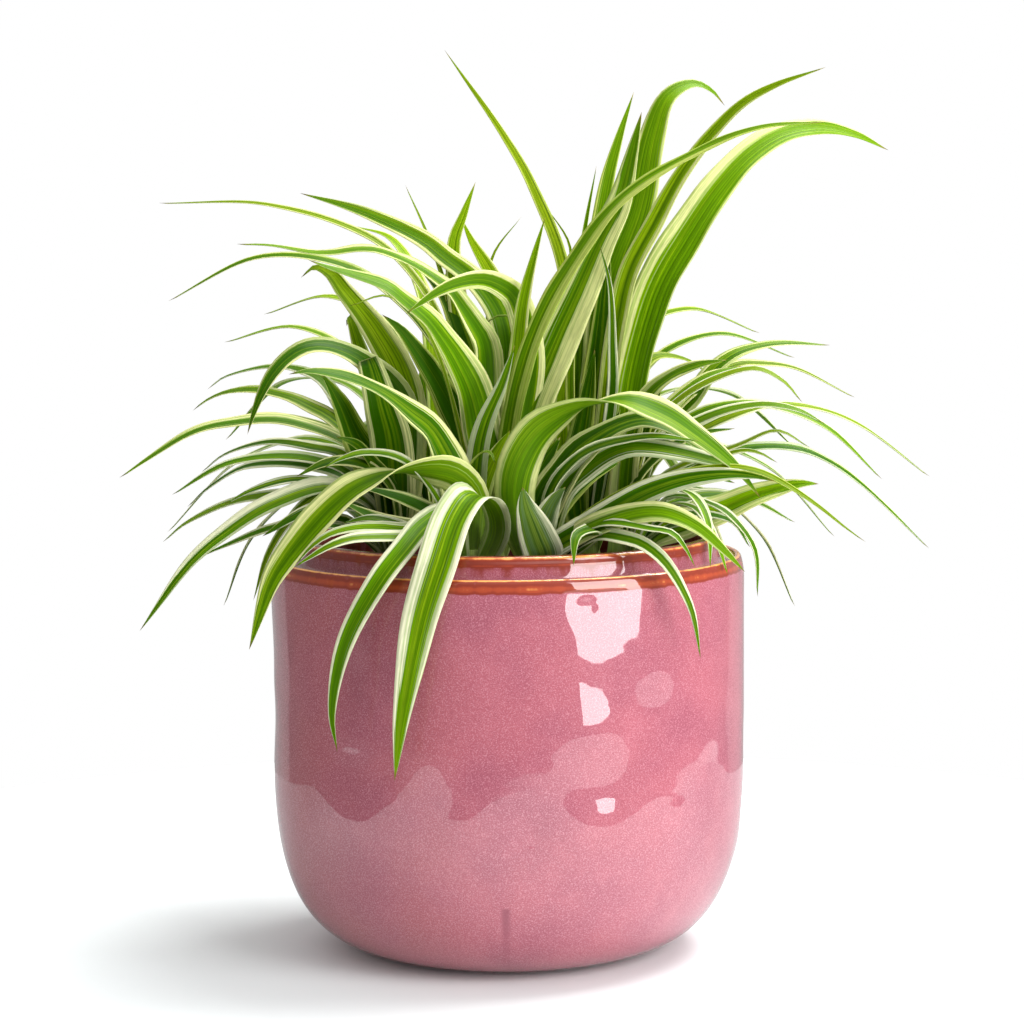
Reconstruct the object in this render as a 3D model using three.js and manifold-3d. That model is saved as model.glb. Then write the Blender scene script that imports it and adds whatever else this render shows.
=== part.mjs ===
// A spider plant in a glazed stoneware pot: eight rosettes of arching, channelled
// leaves stand in potting soil, and the pot is a round-bottomed cylinder with a
// stepped rim and a short collar.
//
// Millimetres, +Z up. The origin is the centre of the pot's flat underside, +X is to
// the right and -Y is the front.
import * as THREE from "three";
import { mergeVertices } from "three/addons/utils/BufferGeometryUtils.js";
import Module from "manifold-3d";

const wasm = await Module();
wasm.setup();

// The pot.
const POT_RADIUS = 95.3;
const FOOT_RADIUS = 37;
const ROUNDING_HEIGHT = 90;
const ROUNDING_POWER = 2 / 3;
const ROUNDING_STEPS = 7;
const RIM_EDGE_RADIUS = 93;
const RIM_EDGE_HEIGHT = 158.5;
const SHOULDER_DROP = 10;
const LEDGE_DIP = 2;
const COLLAR_RADIUS = 85.5;
const COLLAR_TOP = 166.3;
const LIP_THICKNESS = 6;
const LIP_ROUND = 1.6;
const EDGE_ROUND = 0.7;
const WALL = 8;
const FLOOR_THICKNESS = 9;
const POT_SIDES = 40;
const GLAZE_COLOR = 0xa85f74;
const GLAZE_ROUGHNESS = 0.15;

// The soil and the crowns that stand in it.
const GAP = 0.3;
const SOIL_TOP = 142;
const SOIL_RIPPLE = 1.2;
const SOIL_RINGS = 4;
const SOIL_WAVES = { x: 0.21, y: 0.17 };
const SOIL_COLOR = 0x3a2a1e;
const SOIL_ROUGHNESS = 1;
const CROWN_RADIUS = 8;
const CROWN_TIP_RADIUS = 5;
const CROWN_HEIGHT = 22;
const CROWN_DEPTH = 14;
const CROWN_SIDES = 10;

// The leaves.
const ROOT_HEIGHT = 14;
const ROOT_SPREAD = 7;
const BLADE_THICKNESS = 1.2;
const CHANNEL = 0.25;
const BASE_SHARE = 0.45;
const WIDEST_AT = 0.35;
const TIP_TAPER = 2.2;
const TWIST_START = 0.15;
const TWIST_END = 0.75;
const SEGMENT_LENGTH = 23;
const FEWEST_SEGMENTS = 5;
const LEAF_COLOR = 0x5f9a2c;
const LEAF_ROUGHNESS = 0.5;

// Leaves are laid out on a front elevation: x and z are where a point of the midrib
// appears on the plane through the pot's axis, seen from this eye, and depth is how
// far behind that plane (or, negative, in front of it) the point really lies.
const EYE = new THREE.Vector3(2.4, -1200, 290);
const TO_EYE = new THREE.Vector3(0, -1, 0);

// Each rosette has its crown's place on the soil, and its leaves. A leaf is its width,
// how far its upper side turns to the eye (or, negative, away from it) at the root and
// at the tip, in degrees, and the points [x, z, depth] of its midrib from the crown to
// the tip.
const ROSETTES = {
  rosette_center_left: {
    crown: [-6, 4],
    leaves: [
      [5.5, 60, 50, [8, 200, 9], [22, 235, 13], [24, 270, 16], [12, 304, 24], [1, 324, 32],
        [-23, 359, 46]],
      [11, 60, 60, [-16, 240, 16], [-20, 282, 22], [-16, 294, 24], [-11, 307, 26]],
      [12, 60, 60, [-4, 230, 20], [-2, 262, 24], [-6, 272, 25], [-13, 284, 27], [-17, 293, 29]],
      [2.5, 40, 40, [-6, 235, 26], [-5, 276, 32], [7, 293, 36]],
      [2.5, 40, 40, [18, 240, 22], [26, 270, 26], [26, 282, 28], [16, 298, 34]],
      [8, 75, 70, [2, 212, -10], [5, 238, -14], [7.6, 259, -18], [12.5, 279, -23],
        [16.5, 293, -27]],
      [19, 80, 70, [8, 212, -2], [19, 240, -3], [30, 264, -3], [38, 282, -3], [46, 298, -5],
        [51, 317, -10], [55, 334, -16]],
      [10, 60, 40, [2, 206, -14], [6, 226, -21], [14, 250, -26], [26, 272, -27], [47, 299.5, -31],
        [78, 318.5, -40], [102, 327.5, -48], [128, 329.5, -56]],
      [4.5, 35, 35, [-20, 235, 20], [-32, 264, 27], [-51, 284, 34], [-93, 298.5, 48],
        [-137, 299.5, 62]],
      [12, 70, 50, [0, 228, 6], [0, 245, 8], [-3, 256, 9], [-9, 265, 11], [-15, 271, 13],
        [-23, 277, 15], [-31, 283.5, 18], [-51, 293.5, 24], [-65, 298.5, 29], [-81, 303, 36]],
      [14, 80, 20, [-7, 225, -4], [-8.3, 243, -6], [-12.2, 250.4, -8], [-17.4, 258.2, -10],
        [-22, 264.7, -12], [-33.7, 273, -15], [-49, 279.9, -19], [-57, 280.6, -21],
        [-69, 279.4, -24], [-76, 279.4, -26], [-93, 282.5, -31], [-106.4, 283, -34]],
      [6, 35, 35, [-20, 228, 12], [-30, 246, 13], [-42, 260, 13], [-53, 269, 13],
        [-64, 274.5, 14], [-76, 277.6, 14], [-86, 278.6, 14], [-97, 278, 14], [-106, 275.5, 14],
        [-134, 260.5, 12]],
      [17, 85, 40, [-7, 196, -8], [-9.5, 207, -12], [-11, 216, -15], [-14, 226, -19],
        [-20, 238, -24], [-25.2, 245.8, -28], [-30.4, 252.6, -31], [-39.5, 260.4, -36],
        [-46, 265.6, -39], [-59.7, 270.4, -43], [-69.4, 273.4, -45], [-78, 276.5, -47]],
      [13, 60, 80, [8, 222, -4], [9.5, 238, -7], [8, 250, -9], [4.4, 260.8, -13], [0, 264.8, -17],
        [-6, 267.6, -21], [-12.2, 268, -26], [-20.7, 266, -32], [-27.2, 263, -36],
        [-33.7, 258.8, -40], [-39.5, 254.6, -44]],
      [3.5, 30, 30, [-20, 250, 18], [-28, 280, 24], [-39, 306, 30]],
      [4, 30, 30, [-30, 246, -4], [-46, 262, -6], [-62, 258, -10]],
      [15, 70, 60, [-16, 205, 4], [-22, 218, 2], [-29.1, 230.9, 0], [-36.9, 242.6, -2],
        [-42.1, 249.1, -3], [-48.9, 254.6, -4]],
      [12, 50, 50, [-10, 210, 10], [-16, 240, 14], [-24, 262, 20], [-36, 276, 28]],
      [4, 30, 30, [10, 230, 0], [8, 250, 0], [-2, 254, 0], [-14, 245, 0]],
    ],
  },
  rosette_center_right: {
    crown: [32, 18],
    leaves: [
      [17, 60, 60, [46.5, 205, 17], [50, 228, 18], [54, 245, 20], [61, 266, 23], [72, 285, 27],
        [85, 304, 33], [97, 317, 40], [110, 325, 48], [126, 327.5, 58], [140, 324.5, 66],
        [153, 318, 76]],
      [9.5, 60, 60, [40, 212, 19], [45, 250, 20], [50, 271, 20], [60.5, 291, 17], [70.5, 309, 13],
        [82, 324, 8], [95, 337, 2], [108, 344, -4], [128, 351, -16]],
      [18, 75, 50, [39, 230, 28], [43.5, 268, 36], [53.5, 296, 43], [59.5, 325, 51],
        [65.5, 340, 56], [76, 345, 63], [83, 342, 67], [88, 336, 70]],
      [10, 70, 70, [31, 240, 34], [36, 275, 42], [41, 306, 50], [46, 324, 56], [52, 342, 63]],
      [4, 60, 60, [26, 230, 28], [31, 280, 27], [37, 313, 22]],
      [5, 60, 60, [40, 200, 8], [43, 225, 0], [43, 240, -4], [42, 266, -8], [38, 282, -10]],
      [12, 70, 70, [34, 210, 25], [38, 240, 28], [40, 262, 30], [42, 284, 32]],
      [6, 60, 60, [40, 205, 26], [46, 224, 30], [50, 255, 36], [53, 282, 42]],
      [2.5, 40, 40, [46, 240, 40], [56, 285, 50], [64, 294, 54]],
      [8, 30, 30, [46, 210, 30], [58, 236, 42], [72, 236, 52], [84, 228, 60]],
      [13, 60, 60, [28, 190, 14], [32, 215, 11], [36, 240, 9]],
      [11, 55, 50, [37, 185, 15], [41, 205, 17], [47, 222, 20]],
    ],
  },
  rosette_left: {
    crown: [-44, 0],
    leaves: [
      [13, 85, 40, [-40, 212, -2], [-43, 222, -4], [-47, 227.5, -6], [-53.2, 233.3, -8],
        [-59.7, 238, -11], [-66.2, 240.9, -15], [-73, 242.3, -19], [-80, 241.5, -23],
        [-87, 237.5, -28], [-93, 231, -33], [-98, 222, -37], [-101.5, 213, -39],
        [-103.3, 207, -40]],
      [8, 45, 25, [-58, 205, 6], [-66, 218.3, 10], [-70.4, 225.5, 13], [-75.4, 230.2, 17],
        [-82.6, 233.2, 20], [-90.6, 234.2, 26], [-98, 233.8, 29], [-106.4, 232.1, 33],
        [-113.6, 229.5, 36], [-119, 225.2, 38]],
      [10, 45, 25, [-56, 198, 2], [-70, 213.5, 5], [-78, 218, 7], [-85, 221.5, 8],
        [-92, 223.5, 10], [-99, 225, 12], [-106, 225, 13], [-114, 223.4, 14], [-121, 220, 16],
        [-125, 216.7, 16]],
      [9, 30, 30, [-56, 196, -4], [-85, 212, -13], [-110, 212, -20], [-126, 208, -26],
        [-155, 190, -36]],
      [6, 30, 30, [-60, 202, 10], [-85, 214, 22], [-100, 215, 30]],
      [7, 30, 30, [-62, 196, 8], [-78, 202, 18], [-95, 204, 28], [-113, 199, 40],
        [-122, 192, 46]],
      [8, 30, 30, [-60, 188, -2], [-77, 197, -5], [-110, 196, -11], [-134, 183, -15]],
      [7, 30, 30, [-62, 188, 8], [-101, 195, 20], [-119, 186, 28], [-128, 178, 32]],
      [7, 30, 30, [-62, 182, -10], [-82, 189, -20], [-101, 185, -30], [-113, 179, -36]],
      [8, 30, 30, [-64, 178, 6], [-101, 182, 11], [-128, 172, 15], [-138, 164, 16]],
      [9, 35, 35, [-54, 178, -10], [-70, 186, -22], [-93, 180, -34], [-110, 170, -41],
        [-126, 157, -47], [-148, 128, -54]],
      [6, 30, 30, [-64, 172, -2], [-92, 170, -3], [-114, 162, -3], [-123, 158, -3]],
      [6, 20, 20, [-58, 180, -14], [-76, 182, -26], [-88, 171, -34], [-96, 158, -38],
        [-102, 140, -42]],
      [5, 30, 30, [-60, 170, 8], [-80, 174, 18], [-95, 171, 26]],
      [15.5, 75, 50, [-39.5, 205, 6], [-40, 221, 9], [-41.5, 228, 9], [-44.5, 236, 10],
        [-49, 244, 12], [-53.5, 251, 14], [-58.8, 258, 16], [-64.4, 265, 19], [-69, 271, 21],
        [-75.5, 273.6, 26], [-81, 269.4, 30]],
      [11, 75, 75, [-47, 205, 10], [-52, 225, 15], [-57.5, 240, 18], [-60.5, 250, 20],
        [-62, 254, 24], [-63, 250, 30]],
      [17, 80, 80, [-46, 203, -10], [-49.5, 217.9, -18], [-51.5, 226.3, -20], [-53.3, 233, -20],
        [-54.6, 236.6, -16], [-55.5, 233, -9], [-57, 226, -3]],
      [16, 75, 60, [-53, 192, -6], [-60, 205, -11], [-65.5, 218.5, -14], [-69.4, 225.5, -15],
        [-73.5, 231.6, -16]],
      [11, 40, 30, [-46, 184, -14], [-56, 194, -22], [-70, 196, -30], [-84, 190, -37]],
      [9, 30, 30, [-50, 170, -12], [-62, 178, -24], [-80, 176, -36], [-98, 166, -43]],
      [12, 60, 50, [-46, 184, -8], [-54, 196, -16], [-60, 203, -23], [-68, 206, -26]],
      [9, 40, 30, [-52, 160, -12], [-62, 168, -28], [-72, 170, -38], [-80, 166, -46]],
    ],
  },
  rosette_front_left: {
    crown: [-14, -34],
    leaves: [
      [15, -90, 70, [-13, 180, -41], [-18.5, 187.5, -46], [-24, 190.2, -49], [-31, 191.6, -52],
        [-39, 192, -55], [-47, 191.3, -58], [-53.5, 189.3, -60], [-61.3, 185.6, -63],
        [-68.4, 180.4, -65], [-75.6, 173.4, -66], [-82.6, 165.4, -66], [-89.6, 156.4, -66],
        [-95, 147.4, -66], [-104, 120, -63]],
      [16, 0, 0, [-4.5, 168, -46], [-8, 179.5, -58], [-14.5, 182, -70], [-21, 173.5, -80],
        [-28, 154, -92], [-35, 132, -95], [-43, 91, -98], [-46, 66, -97]],
      [10, 0, 0, [-22, 175, -50], [-32, 171, -66], [-41, 161, -81], [-51.5, 147.5, -89],
        [-65, 123, -87], [-71, 94, -84], [-69, 78, -84]],
      [16, 65, 35, [-21.5, 190, -40], [-25.5, 200, -44], [-30.5, 208.5, -48], [-37.5, 214.5, -53],
        [-47.5, 222.5, -61], [-59.5, 228.5, -70], [-69.5, 231.3, -76], [-78.5, 232.3, -80],
        [-86.5, 231, -83]],
      [9, 70, 70, [-11, 198, -30], [-8, 211, -30], [-1, 227, -30], [4, 242, -31]],
      [7, 25, 15, [-28, 169, -50], [-40, 168.3, -60], [-50, 169.5, -68], [-61, 169.3, -74],
        [-71.4, 166.5, -78], [-78.4, 161.6, -79], [-85, 154.3, -79]],
      [7, 20, 15, [-24, 164.5, -54], [-42, 165.5, -72], [-51, 165.6, -78], [-61.6, 165.1, -83],
        [-70, 162.5, -86], [-78.4, 157.8, -87], [-85.6, 153.2, -88]],
      [5, 50, 30, [-16, 190, -34], [-10, 199, -38], [-6, 199, -42], [-4, 194, -45]],
      [12, 50, 40, [-17, 175, -33], [-23, 190, -30], [-31, 205, -28]],
      [11, 60, 60, [-11, 180, -31], [-5, 196, -27], [2, 208, -24]],
      [7, 45, 35, [-26, 178, -44], [-33, 189, -50], [-38.5, 195, -54], [-45, 198.3, -58],
        [-52, 199.5, -62], [-59, 199.2, -65], [-67, 196.6, -68], [-73.5, 193, -71]],
      [11, 40, 30, [-22, 170, -42], [-31, 176, -47], [-42, 181, -51], [-52, 184, -55],
        [-59, 185.5, -58]],
      [10, 40, 40, [-24, 166, -38], [-36, 168, -42], [-47, 171, -45], [-58, 176, -48],
        [-66, 180, -50]],
      [8, 35, 30, [-28, 162, -40], [-41, 169, -47], [-54, 173, -51], [-66, 171, -54]],
    ],
  },
  rosette_front_right: {
    crown: [12, -34],
    leaves: [
      [17.5, -100, 45, [5, 168, -42], [3.6, 176, -44], [3.4, 185, -46], [5.9, 195, -48],
        [12.3, 205.8, -50], [20.8, 213, -52], [28.4, 216.9, -54], [35.1, 218.6, -55],
        [43.6, 219.8, -57], [50.4, 219.4, -58], [58.9, 216.2, -60], [67.4, 212, -62],
        [75.9, 206, -64], [84.4, 199.4, -66], [92.9, 191.7, -67], [102.2, 179.9, -68]],
      [17, 60, 30, [15, 172, -38], [19, 183, -39], [23, 189, -40], [29.1, 197.4, -41],
        [37.6, 204.6, -43], [46, 209.3, -45], [54.6, 211.6, -47], [60.3, 210.8, -49],
        [67.5, 207.5, -51], [74.2, 202.9, -53], [81, 197, -55]],
      [9, 45, 30, [18, 182, -42], [28, 196, -49], [40, 202, -56], [58, 205, -66], [78, 203, -78]],
      [16, 88, 88, [15, 158, -56], [12.8, 164, -59], [9.9, 171.9, -62], [7.9, 178, -63],
        [6.7, 185, -64]],
      [11, 75, 75, [14, 166, -48], [17, 175, -52], [20, 180.5, -54], [24, 185, -57]],
      [8, 0, 0, [34, 166, -64], [34, 168, -76], [28, 165, -86], [27, 153, -93]],
      [6, 30, 10, [32, 163, -60], [38, 165.5, -68], [46, 164.6, -76], [53.5, 162.6, -80],
        [60, 158.3, -83], [65, 153, -84], [70, 145, -84], [75, 133, -82], [78, 115, -80]],
      [11, 60, 45, [20, 161, -54], [32, 168, -58], [38, 172, -61], [47, 177.6, -64],
        [55, 181.9, -66], [64, 185.4, -68], [72, 187.6, -69], [82, 189.2, -70], [92, 189.6, -71],
        [101, 188.5, -72], [108, 186.5, -73]],
      [12, 55, 40, [24, 183, -44], [33, 192, -48], [42, 198, -51], [50, 200.5, -53],
        [59, 200.3, -55], [67, 199, -57], [76, 197, -58], [84, 194.8, -60], [103, 190.5, -62]],
      [10, 45, 35, [28, 165, -58], [52, 174, -72], [64, 174.2, -77], [77, 168.5, -80],
        [88, 158.5, -81], [96, 150, -80]],
      [6, 10, 10, [38, 170, -66], [58, 168, -80], [67, 166, -84], [72, 160, -86], [76, 152, -87]],
      [13, 50, 40, [20, 176, -32], [32, 188, -29], [46, 195, -27]],
      [10, 40, 30, [26, 166, -42], [42, 174, -47], [56, 176, -51], [68, 171, -54]],
      [12, 60, 60, [10, 178, -30], [14, 192, -26], [22, 205, -23]],
      [4, 30, 30, [28, 170, -50], [48, 183, -58], [70, 190, -64], [92, 192.3, -69],
        [103, 190.1, -71], [114, 184.3, -73], [126, 176.1, -75], [136, 168, -77],
        [144.5, 161.8, -78]],
      [8, 40, 30, [30, 163, -46], [44, 171, -52], [58, 174, -56], [70, 172, -58]],
    ],
  },
  rosette_right: {
    crown: [46, -2],
    leaves: [
      [10, 45, 30, [56, 202, 3], [74.4, 219.5, 11], [82.4, 230.5, 14], [92, 238, 18],
        [103, 241.2, 24], [113.6, 242, 29], [130, 241, 36]],
      [7, 25, 25, [62, 208, 6], [91, 233, 24], [103, 234, 31], [116, 232, 38], [140, 220, 52]],
      [7, 30, 30, [62, 212, -7], [98, 232, -20], [111, 227, -25], [119, 218, -29]],
      [13, 65, 45, [50, 203, -6], [57, 221, -10], [66, 229, -15], [77, 233.5, -21],
        [89, 235.5, -26]],
      [10, 60, 40, [54, 198, 0], [62, 212, 2], [71, 222, 5], [82, 229.5, 9], [95, 233, 13]],
      [8.5, 50, 30, [60, 200, -7], [74, 209.5, -12], [85, 214.2, -16], [96, 216.8, -19],
        [106, 217.5, -23], [118, 215, -27], [128, 209.5, -31]],
      [7, 30, 30, [58, 198, -2], [77, 214, -4], [94, 218, -6], [111, 216, -8], [129, 208, -11],
        [151, 187, -15]],
      [6, 25, 25, [60, 194, 4], [80, 208, 11], [105, 217, 20], [124, 216, 26], [142, 209, 32],
        [170, 188, 41]],
      [5, 30, 30, [60, 186, -8], [95, 202, -20], [109, 207, -25], [122, 200, -30]],
      [7, 25, 25, [60, 184, 0], [91, 199, 4], [116, 200, 7], [129, 195, 9], [142, 186, 11],
        [170, 159, 15]],
      [6, 30, 30, [64, 184, -10], [94, 199, -24], [102, 198, -28], [109, 194, -31]],
      [14.5, 66, 55, [60, 165, 4], [74, 170.5, 4], [85, 174.8, 4], [96, 179.6, 3],
        [108.4, 183.6, 2], [119.2, 185.6, 0], [125.5, 185.4, -1]],
      [7, 10, 10, [60, 182, -18], [74, 182, -36], [81, 171, -50], [82, 152, -60]],
      [6, 20, 20, [62, 176, -12], [76, 176, -26], [84, 164, -38], [89, 149, -46]],
      [6, 20, 20, [64, 180, -8], [84, 177, -19], [93, 170, -25], [100, 159, -29],
        [101, 140, -32]],
      [6, 30, 30, [64, 172, -3], [90, 171, -10], [98, 160, -13]],
      [10, 35, 30, [52, 185, -11], [64, 199, -19], [78, 206, -26], [92, 208, -29]],
      [10, 40, 35, [53, 174, -9], [62, 186, -16], [78, 190, -23], [92, 186, -29]],
      [8, 30, 30, [58, 172, 4], [76, 181, 11], [96, 180, 18], [116, 170, 25]],
      [10, 50, 50, [50, 188, -4], [56, 208, -6], [63, 226, -8]],
      [12, 60, 50, [46, 184, 9], [54, 198, 10], [62, 208, 11], [70, 213, 9]],
      [9, 40, 30, [54, 160, -14], [64, 168, -30], [74, 170, -42], [82, 166, -52]],
    ],
  },
  rosette_back_left: {
    crown: [-28, 44],
    leaves: [
      [9, 0, 0, [-40, 200, 56], [-62, 226, 76], [-88, 228, 98], [-112, 205, 116]],
      [11, 0, 0, [-30, 205, 70], [-36, 222, 100], [-44, 205, 128], [-50, 165, 148]],
      [10, 0, 0, [-24, 190, 72], [-22, 198, 96], [-20, 170, 112], [-20, 120, 122]],
      [8, 15, 15, [-50, 190, 50], [-78, 205, 62], [-108, 196, 72], [-136, 168, 80]],
      [9, 15, 15, [-34, 215, 50], [-48, 250, 60], [-70, 262, 72], [-96, 255, 84]],
      [9, 15, 15, [-28, 225, 54], [-32, 262, 64], [-44, 284, 78], [-60, 290, 94]],
      [8, 0, 0, [-46, 184, 66], [-66, 188, 86], [-82, 170, 102], [-92, 138, 112]],
      [10, 0, 0, [-22, 215, 58], [-18, 250, 72], [-20, 270, 94], [-26, 268, 118]],
      [7, 10, 10, [-52, 180, 56], [-80, 184, 66], [-102, 166, 74], [-114, 138, 78]],
      [8, 0, 0, [-36, 195, 62], [-50, 212, 86], [-66, 198, 110], [-78, 160, 126]],
      [7, 20, 20, [-44, 205, 46], [-60, 238, 50], [-84, 250, 56], [-112, 244, 60]],
      [8, 0, 0, [-20, 180, 70], [-8, 190, 96], [-4, 172, 114], [-4, 136, 120]],
      [12, 15, 15, [-30, 190, 54], [-32, 222, 62], [-28, 248, 72]],
      [10, 10, 10, [-38, 180, 50], [-50, 196, 58], [-64, 208, 70], [-76, 210, 84]],
      [11, 15, 15, [-17, 186, 42], [-7, 212, 46], [4, 236, 52]],
    ],
  },
  rosette_back_right: {
    crown: [26, 48],
    leaves: [
      [9, 0, 0, [40, 200, 58], [62, 222, 78], [90, 222, 98], [116, 200, 114]],
      [11, 0, 0, [30, 205, 72], [36, 224, 100], [40, 206, 128], [46, 168, 146]],
      [9, 0, 0, [24, 190, 76], [26, 198, 100], [28, 168, 116], [30, 122, 122]],
      [8, 15, 15, [48, 188, 54], [76, 202, 64], [106, 192, 74], [132, 164, 82]],
      [9, 15, 15, [34, 215, 56], [50, 246, 66], [74, 256, 78], [102, 246, 90]],
      [9, 10, 10, [24, 225, 62], [30, 258, 76], [40, 276, 94], [54, 278, 112]],
      [8, 0, 0, [46, 184, 68], [66, 188, 88], [82, 170, 104], [94, 136, 114]],
      [10, 0, 0, [16, 215, 62], [10, 246, 78], [6, 262, 100], [4, 256, 124]],
      [7, 10, 10, [50, 178, 58], [78, 184, 68], [102, 166, 76], [116, 136, 80]],
      [8, 0, 0, [36, 196, 68], [52, 208, 92], [68, 192, 116], [80, 158, 130]],
      [7, 20, 20, [42, 205, 54], [60, 236, 62], [86, 246, 70], [116, 236, 78]],
      [8, 0, 0, [14, 186, 78], [10, 192, 100], [10, 172, 116], [12, 140, 122]],
      [12, 15, 15, [26, 190, 58], [28, 222, 66], [32, 248, 76]],
      [10, 10, 10, [34, 182, 54], [46, 198, 62], [60, 210, 76], [72, 212, 92]],
      [11, 15, 15, [20, 186, 48], [12, 214, 56], [0, 240, 64]],
    ],
  },
};

function material(color, roughness) {
  return new THREE.MeshStandardMaterial({ color, roughness, metalness: 0 });
}

function solidFrom(vertProperties, triVerts) {
  const mesh = new wasm.Mesh({
    numProp: 3,
    vertProperties: Float32Array.from(vertProperties),
    triVerts: Uint32Array.from(triVerts),
  });
  return new wasm.Manifold(mesh);
}

function solidFromGeometry(geometry) {
  geometry.deleteAttribute("normal");
  geometry.deleteAttribute("uv");
  const merged = mergeVertices(geometry);
  return solidFrom(merged.attributes.position.array, merged.index.array);
}

function geometryFrom(solid) {
  const mesh = solid.getMesh();
  const geometry = new THREE.BufferGeometry();
  geometry.setAttribute("position", new THREE.BufferAttribute(mesh.vertProperties, 3));
  geometry.setIndex(new THREE.BufferAttribute(mesh.triVerts, 1));
  geometry.computeVertexNormals();
  return geometry;
}

// A turned shape about +Z, from [radius, height] points listed from the lower end of
// the axis, up the outside, to the upper end.
function turned(profile, sides) {
  const points = profile.map(([radius, height]) => new THREE.Vector2(radius, height));
  return new THREE.LatheGeometry(points, sides).rotateX(Math.PI / 2);
}

// The rounding from the foot up into the wall, for a skin that lies inset from the
// pot's outside by so much.
function rounding(inset, floor) {
  const points = [];
  for (let step = 0; step <= ROUNDING_STEPS; step += 1) {
    const angle = (step / ROUNDING_STEPS) * (Math.PI / 2);
    const out = Math.pow(Math.sin(angle), ROUNDING_POWER);
    const up = 1 - Math.pow(Math.cos(angle), ROUNDING_POWER);
    const foot = FOOT_RADIUS - inset / 2;
    points.push([foot + (POT_RADIUS - inset - foot) * out, floor + (ROUNDING_HEIGHT - floor) * up]);
  }
  return points;
}

function potProfile() {
  const inside = COLLAR_RADIUS - LIP_THICKNESS;
  const ledge = RIM_EDGE_HEIGHT - LEDGE_DIP;
  return [
    [0, 0],
    ...rounding(0, 0),
    [POT_RADIUS, RIM_EDGE_HEIGHT - SHOULDER_DROP],
    [POT_RADIUS - EDGE_ROUND, RIM_EDGE_HEIGHT - SHOULDER_DROP / 2],
    [RIM_EDGE_RADIUS + EDGE_ROUND, RIM_EDGE_HEIGHT - EDGE_ROUND],
    [RIM_EDGE_RADIUS - EDGE_ROUND, RIM_EDGE_HEIGHT],
    [(RIM_EDGE_RADIUS + COLLAR_RADIUS) / 2, ledge],
    [COLLAR_RADIUS + EDGE_ROUND, ledge + EDGE_ROUND],
    [COLLAR_RADIUS, RIM_EDGE_HEIGHT + EDGE_ROUND],
    [COLLAR_RADIUS, COLLAR_TOP - LIP_ROUND],
    [COLLAR_RADIUS - LIP_ROUND, COLLAR_TOP],
    [inside + LIP_ROUND, COLLAR_TOP],
    [inside, COLLAR_TOP - LIP_ROUND],
    [inside, RIM_EDGE_HEIGHT - SHOULDER_DROP / 2],
    [POT_RADIUS - WALL, RIM_EDGE_HEIGHT - SHOULDER_DROP - LEDGE_DIP],
    ...rounding(WALL, FLOOR_THICKNESS).reverse(),
    [0, FLOOR_THICKNESS],
  ];
}

function pot() {
  const geometry = turned(potProfile(), POT_SIDES);
  const mesh = new THREE.Mesh(geometry, material(GLAZE_COLOR, GLAZE_ROUGHNESS));
  mesh.name = "pot";
  return mesh;
}

// The soil fills the pot up to a rippled top, with as many sides as the pot so that the
// gap between them is even.
function soilBody() {
  const edge = POT_RADIUS - WALL - GAP;
  const floor = FLOOR_THICKNESS + GAP;
  const rings = [];
  for (let ring = SOIL_RINGS - 1; ring > 0; ring -= 1) {
    rings.push([(edge * ring) / SOIL_RINGS, SOIL_TOP]);
  }
  const side = [edge, SOIL_TOP - SOIL_RIPPLE];
  const profile = [[0, floor], ...rounding(WALL + GAP, floor), side, ...rings, [0, SOIL_TOP]];
  const geometry = turned(profile, POT_SIDES);
  const position = geometry.attributes.position;
  for (let i = 0; i < position.count; i += 1) {
    if (position.getZ(i) > SOIL_TOP - SOIL_RIPPLE / 2) {
      const ripple = Math.sin(position.getX(i) * SOIL_WAVES.x) * Math.cos(position.getY(i) * SOIL_WAVES.y);
      position.setZ(i, SOIL_TOP + SOIL_RIPPLE * ripple);
    }
  }
  return solidFromGeometry(geometry);
}

// The plain hole in the soil that a rosette's crown stands in.
function crownHole([x, y]) {
  const radius = CROWN_RADIUS + GAP;
  const bottom = SOIL_TOP - CROWN_DEPTH - GAP;
  const top = SOIL_TOP + CROWN_HEIGHT;
  return solidFromGeometry(turned([[0, bottom], [radius, bottom], [radius, top], [0, top]], CROWN_SIDES))
    .translate(x, y, 0);
}

function soil() {
  let solid = soilBody();
  for (const { crown } of Object.values(ROSETTES)) {
    solid = solid.subtract(crownHole(crown));
  }
  const mesh = new THREE.Mesh(geometryFrom(solid), material(SOIL_COLOR, SOIL_ROUGHNESS));
  mesh.name = "soil";
  return mesh;
}

// A rosette's short crown, set in its hole in the soil.
function crownStub([x, y]) {
  const bottom = SOIL_TOP - CROWN_DEPTH;
  const top = SOIL_TOP + CROWN_HEIGHT;
  const profile = [
    [0, bottom],
    [CROWN_RADIUS, bottom],
    [CROWN_RADIUS, SOIL_TOP],
    [(CROWN_RADIUS + CROWN_TIP_RADIUS) / 2, top - CROWN_HEIGHT / 4],
    [CROWN_TIP_RADIUS, top],
    [0, top],
  ];
  return solidFromGeometry(turned(profile, CROWN_SIDES)).translate(x, y, 0);
}

function sightPoint([x, z, depth]) {
  const onPlane = new THREE.Vector3(x, 0, z);
  return onPlane.sub(EYE).multiplyScalar((depth - EYE.y) / -EYE.y).add(EYE);
}

// The midrib, from inside the crown through the leaf's points. A low leaf leaves the
// crown near its edge and a tall one near its axis, as they nest on the plant.
function midrib([x, y], points) {
  const sights = points.map(sightPoint);
  const root = new THREE.Vector3(x, y, SOIL_TOP + ROOT_HEIGHT);
  const first = sights[0].clone().sub(root).normalize();
  root.addScaledVector(new THREE.Vector3(first.x, first.y, 0), ROOT_SPREAD);
  return new THREE.CatmullRomCurve3([root, ...sights], false, "centripetal");
}

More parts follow.
